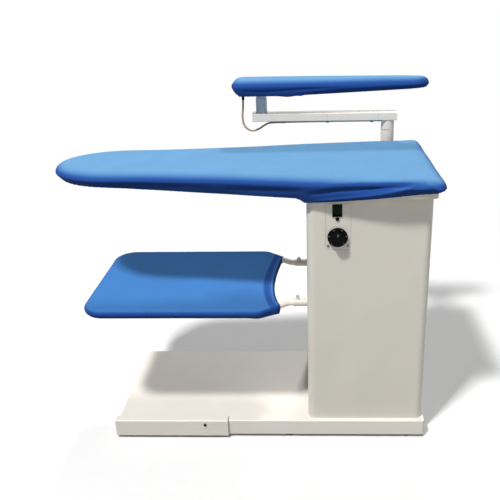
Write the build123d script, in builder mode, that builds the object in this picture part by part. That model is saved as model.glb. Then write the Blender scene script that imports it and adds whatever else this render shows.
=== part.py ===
from build123d import *
import os
from collections import namedtuple
from math import cos, pi, radians, sin, tan

# Industrial vacuum ironing table: a padded, S-curved board on a sheet-metal cabinet, a base pan with a
# foot pedal, a cloth shelf between two tubes, and a swing arm that carries a sleeve board (the buck).
# Sizes are in millimetres. +X runs to the board's wide heel, +Y to the rear, +Z up, and the floor is z = 0.

os.makedirs("parts", exist_ok=True)

# Overall sizes
base_length = 1010
base_depth = 411
base_top = 65
nose_past_base = 156
heel_past_base = 8
buck_past_base = 43
board_half_width = 248
arm_offset = 287
buck_half_width = 65
board_top = 900
buck_top = 1110

# Sheet, clearances and the one overrun of all cuts
sheet = 2
overrun = 5
soft_gap = 0.3
slip_gap = 0.2
running_gap = 0.05
press_gap = 0.03
hole_gap = 0.25

# Places that follow from the overall sizes; the origin is under the middle of the whole table
overall_length = nose_past_base + base_length + buck_past_base
overall_depth = board_half_width + arm_offset + buck_half_width
base_left = nose_past_base - overall_length / 2
base_right = base_left + base_length
base_x = (base_left + base_right) / 2
centre_y = board_half_width - overall_depth / 2
base_front = centre_y - base_depth / 2
base_rear = centre_y + base_depth / 2
arm_y = centre_y + arm_offset

# Directions
RIGHT = (1, 0, 0)
FRONT = (0, -1, 0)
REAR = (0, 1, 0)
UP = (0, 0, 1)
DOWN = (0, 0, -1)

BOTTOM_ALIGN = (Align.CENTER, Align.CENTER, Align.MIN)


def finish(piece, name):
    """Label a finished piece and write it as its own STEP file."""
    piece.part.label = name
    export_step(piece.part, f"parts/{name}.step")


def block(x_limits, y_limits, z_limits, mode=Mode.ADD):
    """A block between two limits along each axis, in the open part."""
    limits = (x_limits, y_limits, z_limits)
    middle = [(low + high) / 2 for low, high in limits]
    size = [high - low for low, high in limits]
    with Locations(tuple(middle)):
        Box(*size, mode=mode)


def rod(start, axis, radius, length, mode=Mode.ADD):
    """A round bar from a point along an axis, in the open part."""
    with Locations(Plane(origin=start, z_dir=axis)):
        Cylinder(radius, length, align=BOTTOM_ALIGN, mode=mode)


def screw(seat, axis, head_radius, head_height, shank_radius, shank_length):
    """A screw with its head standing from the seat along the axis and its shank going the other way."""
    rod(seat, axis, head_radius, head_height)
    rod(seat, tuple(-part for part in axis), shank_radius, shank_length)


def ring(start, axis, outer, inner, length):
    """A round sleeve from a point along an axis, in the open part."""
    with BuildPart() as sleeve:
        with BuildSketch(Plane(origin=start, z_dir=axis)):
            Circle(outer)
            Circle(inner, mode=Mode.SUBTRACT)
        extrude(amount=length)
    return sleeve.part


def hexagon_ring(start, axis, across_flats, inner, length):
    """A hexagon nut from a point along an axis."""
    with BuildPart() as nut:
        with BuildSketch(Plane(origin=start, z_dir=axis)):
            RegularPolygon(across_flats / 2, side_count=6, major_radius=False)
            Circle(inner, mode=Mode.SUBTRACT)
        extrude(amount=length)
    return nut.part


# Base pan: a folded tray standing open side down, with a slot that the pedal's top flange sinks into
base_under = 12
base_corner = 9
base_bend = 4
base_flange = 26
foot_inset = 60
foot_middle = 568
foot_edge = 15
foot_stud_radius = 4
foot_stud_length = 26
nut_flats = 13
nut_height = 5
bolt_radius = 4
bolt_head_radius = 6.5
stiffener_width = 60
stiffener_height = 22
stiffener_front = 60
stiffener_rear = 30
stiffener_shares = (0.22, 0.5)

pedal_length = 373
pedal_past_base = 8
pedal_proud = 8
pedal_flange = 26
pedal_low = 11
pedal_high = 69
pedal_bend = 4
pedal_pivot_along = 290
pedal_pivot_height = 53
pedal_pivot_radius = 3
pedal_travel = 8
pedal_side_gap = 2

pedal_left = base_left - pedal_past_base
pedal_right = pedal_left + pedal_length
pedal_front = base_front - pedal_proud
pedal_back = pedal_front + pedal_flange
pedal_under = pedal_high - sheet
pivot_x = base_left + pedal_pivot_along
slot_floor = pedal_under - pedal_travel - sheet
slot_back = pedal_back + pedal_side_gap
slot_right = pedal_right + pedal_side_gap

foot_xs = (base_left + foot_inset, base_left + foot_middle, base_right - foot_inset)
foot_ys = (base_front + foot_edge, base_rear - foot_edge)
foot_places = [(x, y) for x in foot_xs for y in foot_ys]

# Cabinet
cabinet_width = 372.5
cabinet_depth = 386
cabinet_side_inset = 7.5
cabinet_top = 839
cabinet_corner = 24
cabinet_flange = 26
cabinet_bolt_inset = 15

cab_right = base_right - cabinet_side_inset
cab_left = cab_right - cabinet_width
cab_x = (cab_left + cab_right) / 2
cab_front = centre_y - cabinet_depth / 2
cab_rear = centre_y + cabinet_depth / 2
cabinet_bolt_places = [
    (cab_x + side * (cabinet_width / 2 - cabinet_bolt_inset), centre_y + end * cabinet_depth / 4)
    for side in (-1, 1)
    for end in (-1, 1)
]

with BuildPart() as base_pan:
    with BuildSketch(Plane.XY.offset(base_under)):
        with Locations((base_x, centre_y)):
            RectangleRounded(base_length, base_depth, base_corner)
    extrude(amount=base_top - base_under)
    fillet(base_pan.faces().sort_by(Axis.Z)[-1].edges(), radius=base_bend)
    with BuildSketch(Plane.XY.offset(base_under + sheet)):
        with Locations((base_x, centre_y)):
            RectangleRounded(base_length - 2 * sheet, base_depth - 2 * sheet, base_corner - sheet)
    extrude(amount=base_top - base_under - 2 * sheet, mode=Mode.SUBTRACT)
    with BuildSketch(Plane.XY.offset(base_under)):
        with Locations((base_x, centre_y)):
            Rectangle(base_length - 2 * base_flange, base_depth - 2 * base_flange)
    extrude(amount=2 * sheet, mode=Mode.SUBTRACT)
    block(
        (base_left - overrun, slot_right),
        (base_front - overrun, slot_back),
        (slot_floor, base_top + overrun),
        mode=Mode.SUBTRACT,
    )
    with Locations(*[(x, y, base_under) for x, y in foot_places]):
        Cylinder(foot_stud_radius + hole_gap, 2 * overrun, mode=Mode.SUBTRACT)
    with Locations(*[(x, y, base_top) for x, y in cabinet_bolt_places]):
        Cylinder(bolt_radius + hole_gap, 2 * overrun, mode=Mode.SUBTRACT)
    rod(
        (pivot_x, base_front - overrun, pedal_pivot_height),
        REAR,
        pedal_pivot_radius + hole_gap,
        2 * overrun,
        mode=Mode.SUBTRACT,
    )
    for share in stiffener_shares:
        middle_x = base_left + share * base_length
        with BuildSketch(Plane.XZ.offset(-(base_rear - stiffener_rear))):
            with Locations((middle_x, base_top - sheet - stiffener_height / 2)):
                Rectangle(stiffener_width, stiffener_height)
            with Locations((middle_x, base_top - stiffener_height / 2)):
                Rectangle(stiffener_width - 2 * sheet, stiffener_height, mode=Mode.SUBTRACT)
        extrude(amount=base_depth - stiffener_front - stiffener_rear)
finish(base_pan, "base_pan")

# Levelling feet
foot_radius = 13
foot_disc = 3
foot_height = 5
foot_neck_radius = 7

with BuildPart() as levelling_feet:
    for x, y in foot_places:
        with BuildSketch(Plane(origin=(x, y, 0), x_dir=(1, 0, 0), z_dir=FRONT)):
            with BuildLine():
                Polyline(
                    (0, 0),
                    (foot_radius, 0),
                    (foot_radius, foot_disc),
                    (foot_neck_radius, foot_height),
                    (foot_stud_radius, foot_height),
                    (foot_stud_radius, foot_height + foot_stud_length),
                    (0, foot_height + foot_stud_length),
                    close=True,
                )
            make_face()
        revolve(axis=Axis((x, y, 0), UP))
finish(levelling_feet, "levelling_feet")

# Foot pedal: a folded bar over the base's front left edge, with a return round the left end
with BuildPart() as foot_pedal:
    with BuildSketch(Plane.YZ.offset(pedal_left)):
        with Locations((pedal_front, pedal_high)):
            Rectangle(pedal_flange, pedal_high - pedal_low, align=(Align.MIN, Align.MAX))
        fillet(vertices().group_by(Axis.Y)[-1].sort_by(Axis.X)[0], radius=pedal_bend)
    extrude(amount=pedal_length)
    with BuildSketch(Plane.YZ.offset(pedal_left + sheet)):
        with Locations((pedal_front + sheet, pedal_under)):
            Rectangle(pedal_flange + overrun, pedal_under, align=(Align.MIN, Align.MAX))
        fillet(vertices().group_by(Axis.Y)[-1].sort_by(Axis.X)[0], radius=pedal_bend - sheet)
    extrude(amount=pedal_length, mode=Mode.SUBTRACT)
    rod(
        (pivot_x, pedal_front - overrun, pedal_pivot_height),
        REAR,
        pedal_pivot_radius + running_gap,
        2 * overrun,
        mode=Mode.SUBTRACT,
    )
finish(foot_pedal, "foot_pedal")

# Pedal pivot: a shouldered screw through the pedal, a spacer bush and the base's skirt, with a nut inside
pivot_head_radius = 5
pivot_head_height = 2.5
pivot_nut_flats = 10
pivot_nut_height = 5
pivot_bush_radius = 8
bush_length = pedal_proud - sheet - slip_gap

with BuildPart() as pedal_pivot:
    seat = (pivot_x, pedal_front - slip_gap, pedal_pivot_height)
    shank_length = slip_gap + pedal_proud + sheet + pivot_nut_height
    screw(seat, FRONT, pivot_head_radius, pivot_head_height, pedal_pivot_radius, shank_length)
    fillet(pedal_pivot.faces().sort_by(Axis.Y)[0].edges(), radius=pivot_head_height / 2)
    spacer_start = (pivot_x, base_front, pedal_pivot_height)
    add(ring(spacer_start, FRONT, pivot_bush_radius, pedal_pivot_radius + press_gap, bush_length))
    nut_start = (pivot_x, base_front + sheet, pedal_pivot_height)
    add(hexagon_ring(nut_start, REAR, pivot_nut_flats, pedal_pivot_radius + press_gap, pivot_nut_height))
finish(pedal_pivot, "pedal_pivot")

# Pedal return: a compression spring on a shelf bracket inside the skirt, under the pedal's flange
spring_along = 90
spring_radius = 5.5
spring_wire = 1.5
spring_length = 34
spring_wall_gap = 1.5
bracket_thick = 1.5
spring_bracket_width = 24
spring_bracket_drop = 14
spring_x = base_left + spring_along
spring_y = base_front + sheet + bracket_thick + spring_wall_gap + spring_radius
spring_low = pedal_under - spring_length
spring_shelf_depth = bracket_thick + spring_wall_gap + 2 * spring_radius

with BuildPart() as pedal_return_spring:
    start = (spring_x, spring_y, spring_low)
    add(ring(start, UP, spring_radius, spring_radius - spring_wire, spring_length))
finish(pedal_return_spring, "pedal_return_spring")

# Pedal switch: a small plunger switch on its own bracket, struck by the flange when the pedal is down
switch_along = 150
switch_body_width = 28
switch_body_depth = 11
switch_body_height = 17
plunger_radius = 2.5
plunger_height = 4
switch_drop_gap = 0.5
switch_x = base_left + switch_along
pedal_angle = pedal_travel / pedal_pivot_along
switch_drop = (pivot_x - switch_x) * pedal_angle
plunger_top = pedal_under - switch_drop - switch_drop_gap
switch_top = plunger_top - plunger_height
switch_low = switch_top - switch_body_height

with BuildPart() as pedal_brackets:
    wall = base_front + sheet
    under_spring = (spring_x - spring_bracket_width / 2, spring_x + spring_bracket_width / 2)
    block(under_spring, (wall, wall + bracket_thick), (spring_low - spring_bracket_drop, spring_low))
    block(under_spring, (wall, wall + spring_shelf_depth), (spring_low - bracket_thick, spring_low))
    under_switch = (switch_x - switch_body_width / 2, switch_x + switch_body_width / 2)
    switch_shelf_depth = bracket_thick + switch_body_depth
    shelf_under = switch_low - bracket_thick
    block(under_switch, (wall, wall + bracket_thick), (shelf_under, slot_floor - bracket_thick))
    block(under_switch, (wall, wall + switch_shelf_depth), (shelf_under, switch_low))
finish(pedal_brackets, "pedal_brackets")

with BuildPart() as pedal_switch:
    front = base_front + sheet + bracket_thick
    block(under_switch, (front, front + switch_body_depth), (switch_low, switch_top))
    rod((switch_x, front + switch_body_depth / 2, switch_top), UP, plunger_radius, plunger_height)
finish(pedal_switch, "pedal_switch")

# Control plate opening in the cabinet's front
plate_width = 73
plate_height = 145
plate_left_in = 57
plate_low = 672
plate_gap = 0.8
plate_corner = 3
ledge_width = 7
ledge_outer = 9
plate_left = cab_left + plate_left_in
plate_right = plate_left + plate_width
plate_high = plate_low + plate_height
plate_x = (plate_left + plate_right) / 2
plate_z = (plate_low + plate_high) / 2
ledge_back = cab_front + 2 * sheet
ledge_high = cabinet_top - sheet

# Rear service opening, which the louvred panel covers
window_width = 288
window_height = 470
window_low = 120
window_corner = 12
panel_lap = 12
panel_sheet = 1.5
panel_screw_radius = 2
panel_screw_hole = panel_screw_radius + hole_gap
panel_screw_shares = (-0.4, 0, 0.4)
panel_z = window_low + window_height / 2
panel_screw_places = [
    (cab_x + side * (window_width + panel_lap) / 2, panel_z + share * window_height)
    for side in (-1, 1)
    for share in panel_screw_shares
]

# Shelf sockets through the left wall
socket_half_span = 147
socket_z = 471
socket_radius = 12.5
socket_out = 44
socket_flange_radius = 22
socket_flange = 4

# Swing-arm post and its bracket on the rear wall
post_from_right = 84.5
post_radius = 23
post_wall = 3
post_low = 640
post_x = cab_right - post_from_right
bracket_width = 96
bracket_low = 652
bracket_high = 792
bracket_sheet = 4
bracket_shelf = 5
bracket_shelf_inset = 24
bracket_reach = 34
bracket_bolt_inset = 13
bracket_bolt_places = [
    (post_x + side * (bracket_width / 2 - bracket_bolt_inset), z)
    for side in (-1, 1)
    for z in (bracket_low + bracket_bolt_inset, bracket_high - bracket_bolt_inset)
]


with BuildPart() as cabinet_shell:
    with BuildSketch(Plane.XY.offset(base_top)):
        with Locations((cab_x, centre_y)):
            RectangleRounded(cabinet_width, cabinet_depth, cabinet_corner)
    extrude(amount=cabinet_top - base_top)
    with BuildSketch(Plane.XY.offset(base_top + sheet)):
        with Locations((cab_x, centre_y)):
            RectangleRounded(cabinet_width - 2 * sheet, cabinet_depth - 2 * sheet, cabinet_corner - sheet)
    extrude(amount=cabinet_top - base_top - 2 * sheet, mode=Mode.SUBTRACT)
    with BuildSketch(Plane.XY.offset(base_top - overrun)):
        with Locations((cab_x, centre_y)):
            Rectangle(cabinet_width - 2 * cabinet_flange, cabinet_depth - 2 * cabinet_flange)
    extrude(amount=cabinet_top - base_top + 2 * overrun, mode=Mode.SUBTRACT)
    block(
        (plate_left - ledge_outer, plate_right + ledge_outer),
        (cab_front + sheet, ledge_back),
        (plate_low - ledge_outer, ledge_high),
    )
    block(
        (plate_left - plate_gap, plate_right + plate_gap),
        (cab_front - overrun, cab_front + sheet),
        (plate_low - plate_gap, plate_high + plate_gap),
        mode=Mode.SUBTRACT,
    )
    block(
        (plate_left + ledge_width, plate_right - ledge_width),
        (cab_front - overrun, cab_front + overrun),
        (plate_low + ledge_width, plate_high),
        mode=Mode.SUBTRACT,
    )
    with BuildSketch(Plane(origin=(cab_x, cab_rear + overrun, panel_z), x_dir=(1, 0, 0), z_dir=FRONT)):
        RectangleRounded(window_width, window_height, window_corner)
    extrude(amount=2 * overrun, mode=Mode.SUBTRACT)
    with Locations(*[(x, y, z) for x, y in cabinet_bolt_places for z in (base_top, cabinet_top)]):
        Cylinder(bolt_radius + hole_gap, 2 * overrun, mode=Mode.SUBTRACT)
    for side in (-1, 1):
        start = (cab_left - overrun, centre_y + side * socket_half_span, socket_z)
        rod(start, RIGHT, socket_radius + hole_gap, 2 * overrun, mode=Mode.SUBTRACT)
    for x, z in bracket_bolt_places:
        rod((x, cab_rear + overrun, z), FRONT, bolt_radius + hole_gap, 2 * overrun, mode=Mode.SUBTRACT)
    for x, z in panel_screw_places:
        rod((x, cab_rear + overrun, z), FRONT, panel_screw_hole, 2 * overrun, mode=Mode.SUBTRACT)
finish(cabinet_shell, "cabinet_shell")

# Exhaust line, which sets the panel's hole, the duct and the collar
exhaust_radius = 40
exhaust_wall = 2
exhaust_collar_length = 45
exhaust_flange_radius = 50
exhaust_flange = 3
gland_left_in = 42
gland_up = 40
gland_thread_radius = 8
scroll_small = 88
scroll_large = 140
scroll_throat_angle = 60
scroll_height = 80
fan_plate_z = 300
fan_plate_thick = 3
fan_plate_depth = 300
scroll_reach = fan_plate_depth / 2
throat_inner = scroll_small * cos(radians(scroll_throat_angle))
throat_width = scroll_large - throat_inner
exhaust_x = cab_x + throat_inner + throat_width / 2
scroll_low = fan_plate_z + fan_plate_thick
exhaust_z = scroll_low + scroll_height / 2
gland_x = cab_x - window_width / 2 + gland_left_in
gland_z = window_low + gland_up
panel_outer = cab_rear + panel_sheet

# Rear service panel with pressed louvres
louvre_width = 92
louvre_slot = 5
louvre_rise = 6
louvre_drop = 12
louvre_pitch = 26
louvre_count = 5
louvre_sheet = 1.2
louvre_columns_share = (-0.25, 0.25)
louvre_z = panel_z + window_height / 4

with BuildPart() as rear_panel:
    with BuildSketch(Plane(origin=(cab_x, cab_rear, panel_z), x_dir=(-1, 0, 0), z_dir=REAR)):
        RectangleRounded(window_width + 2 * panel_lap, window_height + 2 * panel_lap, window_corner)
    extrude(amount=panel_sheet)
    for share in louvre_columns_share:
        for row in range(louvre_count):
            x = cab_x + share * window_width
            z = louvre_z + (row - (louvre_count - 1) / 2) * louvre_pitch
            half = louvre_width / 2
            through = (cab_rear - overrun, panel_outer + overrun)
            block((x - half, x + half), through, (z, z + louvre_slot), Mode.SUBTRACT)
            with BuildSketch(Plane.YZ.offset(x - half)):
                with BuildLine():
                    Polyline(
                        (panel_outer, z + louvre_slot),
                        (panel_outer, z + louvre_slot + louvre_sheet),
                        (panel_outer + louvre_rise, z + louvre_slot - louvre_drop + louvre_sheet),
                        (panel_outer + louvre_rise, z + louvre_slot - louvre_drop),
                        close=True,
                    )
                make_face()
            extrude(amount=louvre_width)
    inside = cab_rear - overrun
    exhaust_bore = exhaust_radius - exhaust_wall
    rod((exhaust_x, inside, exhaust_z), REAR, exhaust_bore, 2 * overrun, Mode.SUBTRACT)
    rod((gland_x, inside, gland_z), REAR, gland_thread_radius + hole_gap, 2 * overrun, Mode.SUBTRACT)
    for x, z in panel_screw_places:
        rod((x, inside, z), REAR, panel_screw_hole, 2 * overrun, Mode.SUBTRACT)
finish(rear_panel, "rear_panel")

# Mains gland in the rear panel: hexagon body, round nose, thread and nut
gland_flats = 22
gland_hex = 8
gland_nose_radius = 9
gland_nose = 12
gland_bore_radius = 4.5
gland_thread = 12
gland_nut = 5

with BuildPart() as mains_gland:
    add(hexagon_ring((gland_x, panel_outer, gland_z), REAR, gland_flats, gland_bore_radius, gland_hex))
    nose_start = (gland_x, panel_outer + gland_hex, gland_z)
    add(ring(nose_start, REAR, gland_nose_radius, gland_bore_radius, gland_nose))
    add(ring((gland_x, panel_outer, gland_z), FRONT, gland_thread_radius, gland_bore_radius, gland_thread))
    nut_start = (gland_x, cab_rear, gland_z)
    add(hexagon_ring(nut_start, FRONT, gland_flats, gland_thread_radius + press_gap, gland_nut))
finish(mains_gland, "mains_gland")

# Exhaust collar outside the panel, for a hose to slip over
with BuildPart() as exhaust_collar:
    start = (exhaust_x, panel_outer, exhaust_z)
    add(ring(start, REAR, exhaust_radius, exhaust_radius - exhaust_wall, exhaust_collar_length))
    add(ring(start, REAR, exhaust_flange_radius, exhaust_radius - exhaust_wall, exhaust_flange))
finish(exhaust_collar, "exhaust_collar")

# Control plate with its switch, lamp and thermostat; features are set from the plate's left and low edges
switch_in = 19
bezel_width = 29
bezel_height = 39
bezel_low = 104
bezel_proud = 3
bezel_frame = 4
bezel_depth = 24
lamp_in = 34
lamp_up = 97
lamp_radius = 5.5
lamp_thread_radius = 4
lamp_proud = 3
lamp_depth = 16
lens_radius = 3.5
lens_rise = 1.2
knob_in = 35
knob_up = 41
knob_radius = 30
plate_screw_up = 12
plate_screw_in = 7
spindle_radius = 3
bush_radius = 5

bezel_x = plate_left + switch_in + bezel_width / 2
bezel_z = plate_low + bezel_low + bezel_height / 2
lamp_x = plate_left + lamp_in
lamp_z = plate_low + lamp_up
knob_x = plate_left + knob_in
knob_z = plate_low + knob_up
plate_screw_places = [
    (plate_left + plate_screw_in, plate_low + plate_screw_up),
    (plate_left + plate_width - plate_screw_in, plate_low + plate_screw_up),
]
body_half_width = bezel_width / 2 - bezel_frame / 2
body_half_height = bezel_height / 2 - bezel_frame / 2
rocker_half_width = body_half_width - bezel_frame / 2
rocker_half_height = body_half_height - bezel_frame / 2
rocker_side_gap = 0.3
rocker_end_gap = 1.5
rocker_pin_depth = 4
rocker_body_radius = 3.5
rocker_pin_radius = 1.5
rocker_face_out = 3
rocker_face_in = 1
rocker_half = rocker_half_height - rocker_end_gap
rocker_y = cab_front + rocker_pin_depth

with BuildPart() as control_plate:
    with BuildSketch(Plane(origin=(plate_x, cab_front + sheet, plate_z), x_dir=(1, 0, 0), z_dir=FRONT)):
        RectangleRounded(plate_width, plate_height, plate_corner)
    extrude(amount=sheet)
    block(
        (bezel_x - body_half_width - hole_gap, bezel_x + body_half_width + hole_gap),
        (cab_front - overrun, cab_front + overrun),
        (bezel_z - body_half_height - hole_gap, bezel_z + body_half_height + hole_gap),
        mode=Mode.SUBTRACT,
    )
    outside = cab_front - overrun
    rod((lamp_x, outside, lamp_z), REAR, lamp_thread_radius + hole_gap, 2 * overrun, Mode.SUBTRACT)
    rod((knob_x, outside, knob_z), REAR, bush_radius + hole_gap, 2 * overrun, Mode.SUBTRACT)
    for x, z in plate_screw_places:
        rod((x, outside, z), REAR, panel_screw_hole, 2 * overrun, Mode.SUBTRACT)
finish(control_plate, "control_plate")

with BuildPart() as panel_screws:
    head = 2 * panel_screw_radius
    for x, z in plate_screw_places:
        screw((x, cab_front, z), FRONT, head, panel_screw_radius, panel_screw_radius, sheet)
    for x, z in panel_screw_places:
        reach = panel_sheet + 2 * sheet
        screw((x, panel_outer, z), REAR, head, panel_screw_radius, panel_screw_radius, reach)
finish(panel_screws, "panel_screws")

with BuildPart() as switch_bezel:
    across = (bezel_x - bezel_width / 2, bezel_x + bezel_width / 2)
    upright = (bezel_z - bezel_height / 2, bezel_z + bezel_height / 2)
    block(across, (cab_front - bezel_proud, cab_front), upright)
    fillet(switch_bezel.faces().sort_by(Axis.Y)[0].edges(), radius=bezel_proud / 2)
    block(
        (bezel_x - body_half_width, bezel_x + body_half_width),
        (cab_front, cab_front + bezel_depth),
        (bezel_z - body_half_height, bezel_z + body_half_height),
    )
    block(
        (bezel_x - rocker_half_width, bezel_x + rocker_half_width),
        (cab_front - overrun, cab_front + bezel_depth - sheet),
        (bezel_z - rocker_half_height, bezel_z + rocker_half_height),
        mode=Mode.SUBTRACT,
    )
    pin_start = (bezel_x - body_half_width, rocker_y, bezel_z)
    rod(pin_start, RIGHT, rocker_pin_radius + running_gap, 2 * body_half_width, Mode.SUBTRACT)
finish(switch_bezel, "switch_bezel")

# Switch rocker: a shallow V that tips about a pin across the bezel's opening
with BuildPart() as switch_rocker:
    with BuildSketch(Plane.YZ.offset(bezel_x - rocker_half_width + rocker_side_gap)):
        with BuildLine():
            Polyline(
                (rocker_y, bezel_z - rocker_half),
                (cab_front + rocker_face_in, bezel_z - rocker_half),
                (cab_front, bezel_z),
                (cab_front - rocker_face_out, bezel_z + rocker_half),
                (rocker_y, bezel_z + rocker_half),
                close=True,
            )
        make_face()
        with Locations((rocker_y, bezel_z)):
            Circle(rocker_body_radius)
    extrude(amount=2 * (rocker_half_width - rocker_side_gap))
    rod(pin_start, RIGHT, rocker_pin_radius, 2 * body_half_width)
finish(switch_rocker, "switch_rocker")

# Pilot lamp: bezel ring with threaded body, and its amber lens
with BuildPart() as pilot_lamp:
    rod((lamp_x, cab_front, lamp_z), FRONT, lamp_radius, lamp_proud)
    rod((lamp_x, cab_front, lamp_z), REAR, lamp_thread_radius, lamp_depth)
    lens_seat = (lamp_x, cab_front - lamp_proud / 2, lamp_z)
    rod(lens_seat, FRONT, lens_radius + press_gap, overrun, Mode.SUBTRACT)
finish(pilot_lamp, "pilot_lamp")

with BuildPart() as pilot_lens:
    rod(lens_seat, FRONT, lens_radius, lamp_proud / 2 + lens_rise)
    fillet(pilot_lens.faces().sort_by(Axis.Y)[0].edges(), radius=lens_rise)
finish(pilot_lens, "pilot_lens")

# Thermostat knob: skirted, fluted grip with a pointer line, on a spindle of the thermostat behind the plate
knob_stand = 1
knob_skirt = 5
knob_height = 20
knob_grip_radius = 21
knob_top_radius = 19
knob_edge = 1.5
knob_flutes = 12
knob_flute_radius = 3
knob_bore_depth = 14
pointer_width = 2
pointer_depth = 0.8
thermostat_width = 34
thermostat_height = 34
thermostat_depth = 28
bush_out = 3.5
spindle_in = 10
knob_back = cab_front - knob_stand - bush_out
knob_face = knob_back - knob_height

with BuildPart() as thermostat_knob:
    with BuildSketch(Plane(origin=(knob_x, knob_back, knob_z), x_dir=(1, 0, 0), z_dir=UP)):
        with BuildLine():
            Polyline(
                (0, 0),
                (knob_radius, 0),
                (knob_radius, -knob_skirt + knob_edge),
                (knob_radius - knob_edge, -knob_skirt),
                (knob_grip_radius, -knob_skirt),
                (knob_top_radius, -knob_height + knob_edge),
                (knob_top_radius - knob_edge, -knob_height),
                (0, -knob_height),
                close=True,
            )
        make_face()
    revolve(axis=Axis((knob_x, knob_back, knob_z), FRONT))
    above_skirt = (knob_x, knob_back - knob_skirt, knob_z)
    with BuildSketch(Plane(origin=above_skirt, x_dir=(1, 0, 0), z_dir=FRONT)):
        with PolarLocations(knob_grip_radius + knob_flute_radius / 2, knob_flutes):
            Circle(knob_flute_radius)
    extrude(amount=knob_height, mode=Mode.SUBTRACT)
    block(
        (knob_x - pointer_width / 2, knob_x + pointer_width / 2),
        (knob_face - overrun, knob_face + pointer_depth),
        (knob_z, knob_z + knob_radius),
        mode=Mode.SUBTRACT,
    )
    bore_start = (knob_x, knob_back + overrun, knob_z)
    rod(bore_start, FRONT, spindle_radius + press_gap, overrun + knob_bore_depth, Mode.SUBTRACT)
finish(thermostat_knob, "thermostat_knob")

with BuildPart() as thermostat_spindle:
    spindle_end = knob_back - knob_bore_depth
    spindle_start = cab_front + sheet + spindle_in
    rod((knob_x, spindle_start, knob_z), FRONT, spindle_radius, spindle_start - spindle_end - soft_gap)
finish(thermostat_spindle, "thermostat_spindle")

with BuildPart() as thermostat_body:
    behind = cab_front + sheet
    block(
        (knob_x - thermostat_width / 2, knob_x + thermostat_width / 2),
        (behind, behind + thermostat_depth),
        (knob_z - thermostat_height / 2, knob_z + thermostat_height / 2),
    )
    rod((knob_x, behind, knob_z), FRONT, bush_radius, sheet + bush_out)
    bore_start = (knob_x, cab_front - 2 * overrun, knob_z)
    bore_length = 2 * overrun + sheet + spindle_in + slip_gap
    rod(bore_start, REAR, spindle_radius + running_gap, bore_length, Mode.SUBTRACT)
finish(thermostat_body, "thermostat_body")

# Control box: five-sided cover behind the plate, on the back of the ledge
box_wall = 1.5
box_depth = 62
box_back = ledge_back + box_depth
box_left = plate_left - ledge_outer
box_right = plate_right + ledge_outer
box_low = plate_low - ledge_outer

with BuildPart() as control_box:
    block((box_left, box_right), (ledge_back, box_back), (box_low, ledge_high))
    block(
        (box_left + box_wall, box_right - box_wall),
        (ledge_back - overrun, box_back - box_wall),
        (box_low + box_wall, ledge_high - box_wall),
        mode=Mode.SUBTRACT,
    )
finish(control_box, "control_box")

# Fan plate across the cabinet, folded down where it is bolted to the side walls
fan_plate_fold = 32
motor_radius = 62
motor_flange_radius = 78
motor_flange = 6
motor_height = 128
motor_edge = 10
motor_bolt_circle = 70
motor_bolt_count = 4
motor_bolt_radius = 3
motor_bolt_head_radius = 5
motor_bolt_head = 4
motor_boss_radius = 30
shaft_radius = 7
shaft_sink = 30
shaft_seat = 2

with BuildPart() as fan_plate:
    inner_left = cab_left + sheet
    inner_right = cab_right - sheet
    depth = (centre_y - fan_plate_depth / 2, centre_y + fan_plate_depth / 2)
    block((inner_left, inner_right), depth, (scroll_low - fan_plate_fold, scroll_low))
    block(
        (inner_left + fan_plate_thick, inner_right - fan_plate_thick),
        (depth[0] - overrun, depth[1] + overrun),
        (scroll_low - fan_plate_fold - overrun, fan_plate_z),
        mode=Mode.SUBTRACT,
    )
    under = (cab_x, centre_y, fan_plate_z - overrun)
    rod(under, UP, motor_boss_radius + hole_gap, 2 * overrun, Mode.SUBTRACT)
    with BuildSketch(Plane(under)):
        with PolarLocations(motor_bolt_circle, motor_bolt_count):
            Circle(motor_bolt_radius + press_gap)
    extrude(amount=2 * overrun, mode=Mode.SUBTRACT)
finish(fan_plate, "fan_plate")

with BuildPart() as fan_motor:
    with BuildSketch(Plane(origin=(cab_x, centre_y, fan_plate_z), x_dir=(1, 0, 0), z_dir=FRONT)):
        with BuildLine():
            Polyline(
                (0, -motor_height),
                (motor_radius - motor_edge, -motor_height),
                (motor_radius, -motor_height + motor_edge),
                (motor_radius, -motor_flange),
                (motor_flange_radius, -motor_flange),
                (motor_flange_radius, 0),
                (motor_boss_radius, 0),
                (motor_boss_radius, fan_plate_thick),
                (0, fan_plate_thick),
                close=True,
            )
        make_face()
    revolve(axis=Axis((cab_x, centre_y, 0), UP))
    with BuildSketch(Plane((cab_x, centre_y, fan_plate_z - motor_flange - overrun))):
        with PolarLocations(motor_bolt_circle, motor_bolt_count):
            Circle(motor_bolt_radius + hole_gap)
    extrude(amount=motor_flange + 2 * overrun, mode=Mode.SUBTRACT)
    bore_start = (cab_x, centre_y, scroll_low - shaft_sink)
    rod(bore_start, UP, shaft_radius + running_gap, shaft_sink + overrun, Mode.SUBTRACT)
finish(fan_motor, "fan_motor")


def polar(radius, angle):
    """A point on a circle at an angle in degrees."""
    return (radius * cos(radians(angle)), radius * sin(radians(angle)))


with BuildPart() as fan_motor_bolts:
    for bolt in range(motor_bolt_count):
        x, y = polar(motor_bolt_circle, 360 * bolt / motor_bolt_count)
        seat = (cab_x + x, centre_y + y, fan_plate_z - motor_flange)
        length = motor_flange + fan_plate_thick
        screw(seat, DOWN, motor_bolt_head_radius, motor_bolt_head, motor_bolt_radius, length)
finish(fan_motor_bolts, "fan_motor_bolts")

# Scroll housing: a spiral wall that widens into a square throat, with a round inlet in its lid
scroll_points = 10
inlet_radius = 55


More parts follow.
